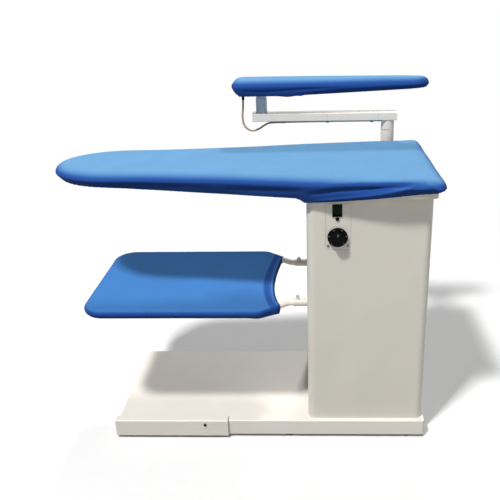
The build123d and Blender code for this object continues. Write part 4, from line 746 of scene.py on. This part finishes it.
# Folds of a side, as its line of points across and up, its width and its rise, all in millimetres
FRONT_FOLDS = (
    (((185, 850), (278, 866), (389, 875), (460, 883), (535, 888)), 8.0, -8.0),
    (((230, 883), (330, 890), (416, 893), (500, 892)), 6.0, 2.6),
    (((200, 829), (300, 844), (389, 858), (440, 870), (510, 890)), 5.0, 6.0),
    (((255, 834), (389, 849), (480, 862), (555, 880)), 4.5, -3.0),
    (((-60, 856), (60, 858), (185, 862)), 9.0, -3.0),
    (((-420, 868), (-250, 862), (-90, 860)), 9.0, -1.6),
    (((515, 888), (545, 878), (566, 870)), 4.0, 2.5),
)
REAR_FOLDS = (
    (((180, 846), (300, 866), (420, 878), (540, 888)), 8.0, -4.5),
    (((215, 830), (330, 850), (450, 872), (530, 890)), 5.0, 2.4),
    (((-80, 860), (60, 860), (180, 864)), 9.0, -2.0),
    (((-430, 868), (-280, 864), (-120, 862)), 8.0, -1.4),
)
HEEL_FOLDS = (
    (((-285, 878), (-200, 874), (-90, 880)), 6.0, -2.6),
    (((-282, 888), (-230, 880), (-150, 872)), 4.0, 1.6),
    (((20, 880), (100, 874), (176, 879)), 6.0, -2.2),
    (((178, 888), (120, 880), (60, 873)), 4.0, 1.4),
)
BUCK_FOLDS = (
    (((-50, 1075), (40, 1071), (150, 1077), (260, 1083)), 6.0, -1.8),
    (((150, 1068), (300, 1078), (470, 1084)), 5.0, 1.0),
)


def creases(cover, folds, across, facing):
    """What one side's folds lift, faded out where the cover turns away from that side."""
    faced = np.clip(facing * 1.6 - 0.2, 0, 1) * (cover.down < 1)
    return sum(fold(across, cover.grid[..., 2], *line) for line in folds) * faced


GATHER_ROW = -8
GATHER_SPREAD = 12


def gathers(cover, pitch, rise):
    """Small pleats of a drawstring above the hem: two sine waves along it, most at the tip and corners.

    How sharply the side turns is read from a low row and averaged over its neighbours. The pleats grow with
    the square of the share down the side.
    """
    side = cover.out[GATHER_ROW]
    turning = np.abs(np.gradient(np.unwrap(np.arctan2(side[:, 1], side[:, 0]))))
    padded = np.r_[turning[-GATHER_SPREAD:], turning, turning[:GATHER_SPREAD]]
    window = 2 * GATHER_SPREAD + 1
    turning = np.convolve(padded, np.ones(window) / window, "valid")
    tight = 0.12 + 0.88 * np.clip(turning / (0.5 * turning.max()), 0, 1)
    phase = 2 * np.pi * cover.along / pitch
    wave = np.sin(phase) + 0.6 * np.sin(phase / 0.63 + 1.3)
    return rise * tight * wave * cover.down**2 * (cover.out[..., 2] > -0.9)


def bulge(cover, end, reach, rise):
    """How far padding swells a side near one end: its rise times a bell curve of the distance to it."""
    side = np.clip(1.3 * np.linalg.norm(cover.out[..., :2], axis=-1) - 0.3, 0, 1)
    return rise * bell(cover.grid[..., 0], end, reach) * side


def cotton_piece(scene, name, finish, cover, lift):
    """A cover's lifted grid as a piece of cotton, with a UV map of metres along and above its hem."""
    grid = cover.grid + lift[..., None] * cover.out
    faces = grid_faces(*grid.shape[:2], True)
    whole = cover.along[0, -1] + np.linalg.norm(grid[-1, 0] - grid[-1, -1])
    u = cover.along.ravel()[faces]
    u[:, 2:] = np.where(u[:, 2:] < u[:, :2], whole, u[:, 2:])
    v = cover.above_hem.ravel()[faces]
    piece = new_piece(name, grid, faces, weld=WELD, uv=np.stack([u, v], axis=-1))
    give_wall(piece, COTTON_THICK)
    colours, thread = scene.table_colours, scene.cover_sizes.thread
    dress(piece, material(finish, woven_cotton, colours.cotton, colours.cotton_side, thread))
    return piece


# Pitch and rise of the gathers, then reach and rise of the bulges
BOARD_GATHERS, BUCK_GATHERS = (21 * MM, 0.8 * MM), (17 * MM, 0.7 * MM)
TIP_BULGE, HEEL_BULGE, BUCK_BULGE = (60 * MM, 8.5 * MM), (50 * MM, 7 * MM), (40 * MM, 3 * MM)


class LOOKS_OT_board_cover(bpy.types.Operator):
    """Fitted cotton cover over the padded board"""

    bl_idname = "looks.board_cover"
    bl_label = "Board cover"

    def execute(self, context):
        sizes = context.scene.cover_sizes
        cover = fitted_cover(
            BOARD, BOARD_TOP, board_hem, board_tuck,
            sizes.edge, EDGE_HEIGHT, sizes.crown, sizes.draw_in, BOARD_COLUMNS,
        )
        x, y, out = cover.grid[..., 0], cover.grid[..., 1], cover.out
        lift = gathers(cover, *BOARD_GATHERS)
        lift += creases(cover, FRONT_FOLDS, x, -out[..., 1])
        lift += creases(cover, REAR_FOLDS, x, out[..., 1])
        lift += creases(cover, HEEL_FOLDS, y, out[..., 0])
        lift += bulge(cover, BOARD.tip, *TIP_BULGE) * (1 - 0.6 * cover.down)
        lift += bulge(cover, BOARD.heel, *HEEL_BULGE) * (1 - cover.down**2)
        lift = np.maximum(lift, cover.inset - PAN_CLEAR)
        piece = cotton_piece(context.scene, "fitted_board_cover", "azure cotton", cover, lift)
        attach(piece, "cabinet")
        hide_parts("board_cover", "board_pad")
        return {"FINISHED"}


class LOOKS_OT_buck_cover(bpy.types.Operator):
    """Fitted cotton cover over the sleeve board, with its drawstring knotted under the hem"""

    bl_idname = "looks.buck_cover"
    bl_label = "Buck cover"

    def execute(self, context):
        cover = fitted_cover(
            BUCK, BUCK_TOP, buck_hem, buck_tuck,
            BUCK_EDGE, BUCK_EDGE_HEIGHT, BUCK_CROWN, BUCK_DRAW_IN, BUCK_COLUMNS,
        )
        lift = gathers(cover, *BUCK_GATHERS)
        lift += creases(cover, BUCK_FOLDS, cover.grid[..., 0], -cover.out[..., 1])
        lift += bulge(cover, BUCK.tip, *BUCK_BULGE) * (1 - 0.5 * cover.down)
        piece = cotton_piece(context.scene, "fitted_buck_cover", "azure cotton, buck", cover, lift)
        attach(piece, "buck")
        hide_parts("buck_cover", "buck_pad")
        return {"FINISHED"}


# Shelf: a sling of canvas, with a sleeve sewn round the bent tube

TUBE_LOW, TUBE_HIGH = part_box("shelf_frame")
TUBE_RADIUS = (TUBE_HIGH.z - TUBE_LOW.z) / 2
SHELF_Z = (TUBE_HIGH.z + TUBE_LOW.z) / 2
SHELF_HALF = (TUBE_HIGH.y - TUBE_LOW.y) / 2 - TUBE_RADIUS
SHELF_LEFT = TUBE_LOW.x + TUBE_RADIUS
SHELF_EDGE = 91.5 * MM
SHELF_SPLAY = 1 / np.tan(np.radians(38))
SOCKET_HALF = 147 * MM
SOCKET_REACH = 14 * MM
SPLAY_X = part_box("shelf_sockets")[0].x - SOCKET_REACH - (SHELF_HALF - SOCKET_HALF) * SHELF_SPLAY
SHELF_CORNER = 58 * MM
SHELF_BEND = 34 * MM
BEND_STEPS = 14
SHELF_EDGE_DRAW = 23 * MM
DRAW_FADE = 40 * MM
SHELF_MIDDLE = -200 * MM
SPINE_END_SHARE = 0.75
SAG_SHARES = (0.35, 1.0, 1.45)
DROOP_SHARE = 0.22
CANVAS_THICK = 1.0 * MM
# Width of a darker band drawn on the canvas near the fold of its open end's hem
CANVAS_DARK_BAND = 34 * MM
CANVAS_COARSER = 1.2
CANVAS_SHADED = (0.3, 0.36, 0.58)
SLEEVE_RADIUS = TUBE_RADIUS + 1.3 * MM
SLEEVE_DROOP = 16 * MM
SLEEVE_TURN = 1.35 * np.pi
HEM_LIP = 9 * MM
LIP_RADIUS = 3 * MM
LIP_STEPS = 5
SHELF_COLUMNS, SHELF_ROWS, SLEEVE_ROWS, LIP_FADE_ROWS = 360, 40, 22, 8


def rounded_route(points, radii, samples):
    """A line of corner points with each corner an arc of its radius, read at even steps.

    An arc starts its radius times the tangent of half the turn before the corner, and ends as far after it.
    """
    points = np.array(points, float)
    pieces = [points[:1]]
    for before, corner, after, radius in zip(points[:-2], points[1:-1], points[2:], radii):
        way_in, way_out = unit(corner - before), unit(after - corner)
        turn = np.arccos(np.clip(way_in @ way_out, -1, 1))
        start = corner - radius * np.tan(turn / 2) * way_in
        centre = corner + unit(way_out - way_in) * radius / np.cos(turn / 2)
        angle = np.linspace(0, turn, BEND_STEPS)[:, None]
        pieces.append(centre + (start - centre) * np.cos(angle) + radius * way_in * np.sin(angle))
    pieces.append(points[-1:])
    return evenly(np.vstack(pieces), samples)


def shelf_outline(samples):
    """The tube's middle line under the cloth, from the cloth's front end round to its rear end."""
    end_half = SHELF_HALF - (SHELF_EDGE - SPLAY_X) / SHELF_SPLAY
    front = [(SHELF_EDGE, -end_half), (SPLAY_X, -SHELF_HALF), (SHELF_LEFT, -SHELF_HALF)]
    route = front + [(x, -y) for x, y in reversed(front)]
    return rounded_route(route, (SHELF_BEND, SHELF_CORNER, SHELF_CORNER, SHELF_BEND), samples)


def sling_rows(tube, outward, sag):
    """The rows of the sling: from its middle line out to the tube, and then round it as a sleeve.

    The middle sags most near the open end, and that end's edge is drawn in to a curve. The sleeve droops
    below the tube's side, and most at the front of the open end.
    """
    tube_x = tube[:, 0]
    spine_left, spine_right = SHELF_LEFT + SPINE_END_SHARE * SHELF_HALF, SHELF_EDGE - SHELF_EDGE_DRAW
    splayed = np.interp(tube_x, (SPLAY_X, SHELF_EDGE), (SPLAY_X, spine_right))
    spine_x = np.where(tube_x >= SPLAY_X, splayed, np.clip(tube_x, spine_left, spine_right))
    spine = np.stack([spine_x, np.zeros(len(tube))], axis=1)
    end_near = np.clip((tube_x - SPLAY_X + DRAW_FADE) / (SHELF_EDGE - SPLAY_X + DRAW_FADE), 0, 1) ** 1.5
    for share in np.linspace(0, 1, SHELF_ROWS) ** 0.85:
        at = spine + share * (tube - spine)
        at[:, 0] -= SHELF_EDGE_DRAW * share * (1 - share) * end_near
        slack = sag * np.interp(at[:, 0], (SHELF_LEFT, SHELF_MIDDLE, SHELF_EDGE), SAG_SHARES)
        yield at, SHELF_Z + SLEEVE_RADIUS - slack * (1 - share**2.6)
    droop = SLEEVE_DROOP * (DROOP_SHARE + (1 - DROOP_SHARE) * end_near * (tube[:, 1] < 0))
    for turn in np.linspace(0, SLEEVE_TURN, SLEEVE_ROWS)[1:]:
        low = np.sin(np.clip(turn - np.pi / 2, 0, np.pi / 2)) ** 2
        height = SHELF_Z + SLEEVE_RADIUS * np.cos(turn) - droop * low
        yield tube + SLEEVE_RADIUS * np.sin(turn) * outward, height


def shelf_grid(sag):
    """The cloth shelf as rows of points, and each point's distance from the fold of its open end's hem.

    The hem turns down by an arc and a straight lip, and fades out where the cloth goes round the tube.
    """
    tube = shelf_outline(SHELF_COLUMNS)
    slope = unit(np.gradient(tube, axis=0))
    outward = np.stack([-slope[:, 1], slope[:, 0]], axis=1)
    outward *= np.sign(np.sum(outward * (tube - [SHELF_MIDDLE, 0]), axis=1))[:, None]
    grid = np.array([np.column_stack([at, height]) for at, height in sling_rows(tube, outward, sag)])
    hanging = np.clip((SHELF_ROWS - np.arange(len(grid))) / LIP_FADE_ROWS, 0, 1)[:, None, None]
    turn = np.linspace(0, np.pi / 2, LIP_STEPS + 1)[1:-1]
    ahead = LIP_RADIUS * np.r_[1, np.cos(turn)]
    drop = np.r_[LIP_RADIUS + HEM_LIP, LIP_RADIUS * (1 - np.sin(turn))]
    lip = hanging * np.stack([ahead, 0 * ahead, -drop], axis=-1)
    grid = np.hstack([grid[:, :1] + lip, grid, grid[:, -1:] + lip[:, ::-1]])
    grid[..., 1] += BOARD.y
    from_front = run_along(grid, axis=1)
    from_edge = np.minimum(from_front, from_front[:, -1:] - from_front)
    return grid, from_edge - from_edge[:, LIP_STEPS : LIP_STEPS + 1]


class LOOKS_OT_shelf_cloth(bpy.types.Operator):
    """Canvas sling sewn round the shelf's tube, slack in the middle and open towards the cabinet"""

    bl_idname = "looks.shelf_cloth"
    bl_label = "Shelf cloth"

    def execute(self, context):
        sizes, colours = context.scene.cover_sizes, context.scene.table_colours
        grid, from_fold = shelf_grid(sizes.sag)
        faces = grid_faces(*grid.shape[:2], False)
        uv = np.stack([grid[..., 1].ravel()[faces], from_fold.ravel()[faces]], axis=-1)
        cloth = new_piece("canvas_shelf", grid, faces, weld=WELD, uv=uv, upwards=True)
        give_wall(cloth, CANVAS_THICK)
        shaded = [part * share for part, share in zip(colours.canvas, CANVAS_SHADED)]
        threads = sizes.thread * CANVAS_COARSER
        dress(cloth, material("royal canvas", woven_cotton, colours.canvas, shaded, threads, CANVAS_DARK_BAND))
        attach(cloth, "cabinet")
        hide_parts("shelf_cloth")
        return {"FINISHED"}


# Cable of the buck's heater, as its route's points along and up in millimetres

CABLE_ROUTE = (
    (-39.5, 1066.8),
    (-39.5, 1014),
    (-45.5, 974),
    (-39.5, 940),
    (-15.5, 922),
    (12.5, 929),
    (36.5, 947),
    (62.5, 956),
    (452.5, 956),
)
CABLE_RADIUS = 3.5 * MM
CABLE_SIDES = 16
CABLE_RESOLUTION = 24


def nurbs_line(points):
    """Points along the smooth curve that the route's points control, which starts and ends on them."""
    curve = bpy.data.curves.new("route", "CURVE")
    curve.dimensions = "3D"
    curve.resolution_u = CABLE_RESOLUTION
    spline = curve.splines.new("NURBS")
    spline.points.add(len(points) - 1)
    spline.points.foreach_set("co", np.column_stack([points, np.ones(len(points))]).ravel())
    spline.order_u = 3
    spline.use_endpoint_u = True
    return curve_mesh(curve)[0]


class LOOKS_OT_cable(bpy.types.Operator):
    """Flexible cable from the arm up into the buck"""

    bl_idname = "looks.cable"
    bl_label = "Cable"

    def execute(self, context):
        arm_y = (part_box("arm_post")[0].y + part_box("arm_post")[1].y) / 2
        line = nurbs_line(np.array([(x * MM, arm_y, z * MM) for x, z in CABLE_ROUTE]))
        cable = tube_piece("buck_cable_sheath", line, CABLE_RADIUS, CABLE_SIDES, (0, 1, 0))
        dress(cable, material("beige cable sheath", moulded_plastic, "#B09F8C", 0.5, grit=1.1 * MM))
        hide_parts("buck_cable")
        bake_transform(cable)
        length = float(run_along(line)[-1])
        tuple(map(float, line[0]))
        return {"FINISHED"}


# Return spring of the pedal: its end turns lie nearly flat, and take a small share of the climb

SPRING_LOW, SPRING_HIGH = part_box("pedal_return_spring")
SPRING_WIRE = 0.75 * MM
SPRING_TURNS = 7
SPRING_STEPS, SPRING_SIDES = 24, 10
SPRING_DEAD_TURN, SPRING_DEAD_CLIMB = 0.09, 0.04


class LOOKS_OT_pedal_spring(bpy.types.Operator):
    """Coiled wire spring under the pedal"""

    bl_idname = "looks.pedal_spring"
    bl_label = "Pedal spring"

    def execute(self, context):
        middle = (SPRING_LOW + SPRING_HIGH) / 2
        radius = (SPRING_HIGH.x - SPRING_LOW.x) / 2 - SPRING_WIRE
        share = np.linspace(0, 1, SPRING_TURNS * SPRING_STEPS + 1)
        turn = 2 * np.pi * SPRING_TURNS * share
        live = (0, SPRING_DEAD_TURN, 1 - SPRING_DEAD_TURN, 1)
        climb = np.interp(share, live, (0, SPRING_DEAD_CLIMB, 1 - SPRING_DEAD_CLIMB, 1))
        low, high = SPRING_LOW.z + SPRING_WIRE, SPRING_HIGH.z - SPRING_WIRE
        x, y = middle.x + radius * np.cos(turn), middle.y + radius * np.sin(turn)
        line = np.column_stack([x, y, low + (high - low) * climb])
        spring = tube_piece("pedal_coil_spring", line, SPRING_WIRE, SPRING_SIDES, (0, 0, 1))
        dress(spring, material("spring steel wire", brushed_metal, "#9A9B9D", 0.38))
        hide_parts("pedal_return_spring")
        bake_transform(spring)
        return {"FINISHED"}


# Print on the thermostat's knob

KNOB_LOW, KNOB_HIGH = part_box("thermostat_knob")
KNOB_SKIRT_Y = KNOB_HIGH.y - 5 * MM
DIAL_MARKS = "123456"
DIAL_SIZE = 6.6 * MM
DIAL_RADIUS = 25.6 * MM
DIAL_SWEEP = np.radians(270)
PRINT_THICK = 0.12 * MM
POINTER_HALF, POINTER_START, POINTER_END = 0.7 * MM, 8 * MM, 17 * MM
POINTER_SINK, POINTER_THICK = 0.25 * MM, 0.5 * MM
BOX_FACES = ((0, 1, 2, 3), (7, 6, 5, 4), (0, 4, 5, 1), (1, 5, 6, 2), (2, 6, 7, 3), (3, 7, 4, 0))


def printed_text(body, size):
    """A mark drawn flat round its own middle, as points and faces."""
    curve = bpy.data.curves.new("print", "FONT")
    curve.body, curve.size, curve.extrude = body, size, PRINT_THICK
    curve.align_x, curve.align_y = "CENTER", "CENTER"
    curve.resolution_u = 3
    return curve_mesh(curve)


def dial_marks():
    """The points and faces of each mark round the dial, and of the pointer, from the knob's middle."""
    for index, mark in enumerate(DIAL_MARKS):
        turn = DIAL_SWEEP * (index / (len(DIAL_MARKS) - 1) - 0.5)
        flat, faces = printed_text(mark, DIAL_SIZE)
        up = flat[:, 1] + DIAL_RADIUS
        x = np.cos(turn) * flat[:, 0] + np.sin(turn) * up
        z = -np.sin(turn) * flat[:, 0] + np.cos(turn) * up
        yield np.column_stack([x, KNOB_SKIRT_Y - flat[:, 2], z]), faces
    x = POINTER_HALF * np.array([-1, 1, 1, -1])
    z = np.repeat([POINTER_START, POINTER_END], 2)
    near = KNOB_LOW.y + POINTER_SINK
    ends = [np.column_stack([x, np.full(4, y), z]) for y in (near, near + POINTER_THICK)]
    yield np.vstack(ends), BOX_FACES


class LOOKS_OT_dial_print(bpy.types.Operator):
    """White figures and a pointer printed on the thermostat's knob"""

    bl_idname = "looks.dial_print"
    bl_label = "Dial print"

    def execute(self, context):
        middle = (KNOB_LOW + KNOB_HIGH) / 2
        points, faces = np.empty((0, 3)), []
        for mark_points, mark_faces in dial_marks():
            faces += [[len(points) + corner for corner in face] for face in mark_faces]
            points = np.vstack([points, mark_points + [middle.x, 0, middle.z]])
        marks = new_piece("dial_print", points, faces, outwards=True)
        marks.data.shade_flat()
        dress(marks, material("white pad print", moulded_plastic, "#A8A8A2", 0.5))
        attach(marks, "knob")
        return {"FINISHED"}


# Finishes of the CAD parts


def finishes(colours):
    """Each finish and the CAD parts that have it."""
    cast_iron = linear("#45484C")
    return {
        material("cream enamel", stoved_enamel, colours.enamel):
            "cabinet_shell control_plate rear_panel board_pan buck_pan shelf_sockets post_bracket",
        material("white enamel", stoved_enamel, colours.arm_enamel, 0.32):
            "shelf_frame arm_hub_block arm_beams arm_tip_block arm_hub arm_post",
        material("blue-grey enamel", stoved_enamel, colours.post_enamel, 0.35): "buck_post buck_spindle",
        material("base enamel", stoved_enamel, colours.base_enamel, 0.42): "base_pan foot_pedal",
        material("painted cast iron", stoved_enamel, cast_iron, 0.55, 0.15 * MM): "fan_housing fan_motor",
        material("zinc plate", zinc_plate, "#B9BBBD"):
            "frame_bolts frame_nuts pedal_brackets fan_motor_bolts arm_screws shelf_clamp_screws fan_plate "
            "suction_duct exhaust_duct exhaust_collar control_box pedal_return_spring",
        material("turned steel", brushed_metal, "#B4B4B5", 0.34):
            "fan_shaft thermostat_spindle arm_coupling board_heater buck_heater levelling_feet",
        material("blackened steel", brushed_metal, "#2B2A29", 0.45): "pedal_pivot",
        material("tarnished steel", brushed_metal, "#6E6B66", 0.5): "panel_screws",
        material("mill aluminium", brushed_metal, "#C6C8CA", 0.42, grain=1.6 * MM):
            "board_plate buck_plate fan_impeller",
        material("sintered bronze", brushed_metal, "#C9B79A", 0.5, grain=0.9 * MM, stretch=2.0): "post_bushes",
        material("black thermoset", moulded_plastic, "#070708", 0.55, shine=0.06):
            "thermostat_knob mains_gland pilot_lamp",
        material("gloss black ABS", moulded_plastic, "#060607", 0.2, 1.5 * MM, 0.08): "switch_bezel",
        material("grey nylon", moulded_plastic, "#8C8E90", 0.5): "thermostat_body pedal_switch cable_clips",
        material("beige cable sheath", moulded_plastic, "#B9AD93", 0.5): "buck_cable",
        material("green acrylic", lit_lens, "#031D12", 0.02): "switch_rocker",
        material("amber acrylic", lit_lens, "#241006", 0.05): "pilot_lens",
        material("black sponge rubber", sponge, "#141414", 1.6 * MM): "board_gasket cable_boot",
        material("cream felt", sponge, "#DAD5C6", 2.2 * MM):
            "board_pad buck_pad board_cover buck_cover shelf_cloth",
    }


class LOOKS_OT_finishes(bpy.types.Operator):
    """Enamel, plating, plastic and rubber on the CAD parts"""

    bl_idname = "looks.finishes"
    bl_label = "Finishes"

    def execute(self, context):
        undressed = set(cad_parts)
        for finish, names in finishes(context.scene.table_colours).items():
            for name in names.split():
                dress(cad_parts[name], finish)
                undressed.discard(name)
        if undressed:
            raise RuntimeError(f"no finish for {sorted(undressed)}")
        return {"FINISHED"}


# Stage

CAMERA_PLACE = Vector((0.1922, -1.9618, 1.4351))
CAMERA_PITCH = 0.3390
CAMERA_YAW = -0.0334
CAMERA_ROLL = -0.0194
FOCAL_PIXELS = 627.968
PHOTO_PIXELS = 500
VIEW_CENTRE = (290, 200)
SENSOR = 36.0
FLOOR_CORNERS = ((-6, -6, 0), (6, -6, 0), (6, 9, 0), (-6, 9, 0))

SKY, SKY_STRENGTH = (0.97, 0.98, 1.0, 1), 0.13

# Lamps: the way each one shines, how far off it stands, its width and its power
LIT_POINT = Vector((0.05, 0.0, 0.6))
LAMPS = (
    ("key lamp", (0.283, 0.394, -0.875), 9.0, 0.9, 820),
    ("rear lamp", (-0.1, -0.62, -0.78), 8.0, 0.9, 240),
    ("fill lamp", (-0.35, 0.9, -0.3), 4.5, 3.0, 28),
)


def camera_matrix():
    """The camera's place and turn: from a level view to the rear, rolled about it, pitched down and yawed."""
    pitched = Matrix.Rotation(np.pi / 2 - CAMERA_PITCH, 4, "X") @ Matrix.Rotation(CAMERA_ROLL, 4, "Z")
    return Matrix.Translation(CAMERA_PLACE) @ Matrix.Rotation(-CAMERA_YAW, 4, "Z") @ pitched


def lamp(name, towards, distance, size, watts):
    """A square soft lamp that shines a way, onto the lit point and from a distance off."""
    towards = Vector(towards).normalized()
    light = bpy.data.lights.new(name, "AREA")
    light.size, light.energy = size, watts
    holder = bpy.data.objects.new(name, light)
    holder.location = LIT_POINT - distance * towards
    holder.rotation_euler = towards.to_track_quat("-Z", "Y").to_euler()
    bpy.context.scene.collection.objects.link(holder)


def studio_world():
    """A dim even light from all round that the camera, mirrors and clear pieces see as white."""
    world = bpy.data.worlds.new("studio")
    world.use_nodes = True
    tree = world.node_tree
    tree.nodes.clear()
    path = node(tree, "LightPath").outputs
    seen = maths("MAXIMUM", path["Is Camera Ray"], path["Is Transmission Ray"])
    seen = maths("MAXIMUM", seen, path["Is Glossy Ray"])
    soft = node(tree, "Background", {"Color": SKY, "Strength": SKY_STRENGTH}).outputs[0]
    white = node(tree, "Background", {"Color": WHITE, "Strength": 1.0}).outputs[0]
    node(tree, "OutputWorld", {"Surface": mix_shaders(seen, soft, white)})
    return world


class LOOKS_OT_stage(bpy.types.Operator):
    """Pale floor, soft lamps and the camera at the photograph's angle"""

    bl_idname = "looks.stage"
    bl_label = "Stage"

    def execute(self, context):
        scene = context.scene
        camera = bpy.data.objects.new("camera", bpy.data.cameras.new("camera"))
        camera.data.sensor_width = SENSOR
        camera.data.lens = FOCAL_PIXELS / PHOTO_PIXELS * SENSOR
        camera.data.shift_x = 0.5 - VIEW_CENTRE[0] / PHOTO_PIXELS
        camera.data.shift_y = VIEW_CENTRE[1] / PHOTO_PIXELS - 0.5
        camera.matrix_world = camera_matrix()
        scene.collection.objects.link(camera)
        scene.camera = camera
        floor = new_piece("floor", FLOOR_CORNERS, [range(len(FLOOR_CORNERS))])
        dress(floor, pale_floor())
        for settings in LAMPS:
            lamp(*settings)
        scene.world = studio_world()
        scene.view_settings.view_transform = "Standard"
        return {"FINISHED"}


class LOOKS_PT_panel(bpy.types.Panel):
    """Sidebar panel that lists the sizes, the colours and the pieces"""

    bl_idname = "LOOKS_PT_panel"
    bl_label = "Ironing table"
    bl_space_type = "VIEW_3D"
    bl_region_type = "UI"
    bl_category = "Ironing table"

    def draw(self, context):
        for group in (context.scene.cover_sizes, context.scene.table_colours):
            for name in group.__annotations__:
                self.layout.prop(group, name)
        for operator in PIECES:
            self.layout.operator(operator.bl_idname)


PIECES = (
    LOOKS_OT_finishes,
    LOOKS_OT_board_cover,
    LOOKS_OT_buck_cover,
    LOOKS_OT_shelf_cloth,
    LOOKS_OT_cable,
    LOOKS_OT_pedal_spring,
    LOOKS_OT_dial_print,
    LOOKS_OT_stage,
)
CLASSES = (CoverSizes, TableColours, *PIECES, LOOKS_PT_panel)


def register():
    for cls in CLASSES:
        bpy.utils.register_class(cls)
    bpy.types.Scene.cover_sizes = PointerProperty(type=CoverSizes)
    bpy.types.Scene.table_colours = PointerProperty(type=TableColours)


def unregister():
    del bpy.types.Scene.cover_sizes
    del bpy.types.Scene.table_colours
    for cls in reversed(CLASSES):
        bpy.utils.unregister_class(cls)


def main():
    register()
    bpy.ops.looks.finishes()
    bpy.ops.looks.board_cover()
    bpy.ops.looks.buck_cover()
    bpy.ops.looks.shelf_cloth()
    bpy.ops.looks.cable()
    bpy.ops.looks.pedal_spring()
    bpy.ops.looks.dial_print()
    bpy.ops.looks.stage()


if __name__ == "__main__":
    main()
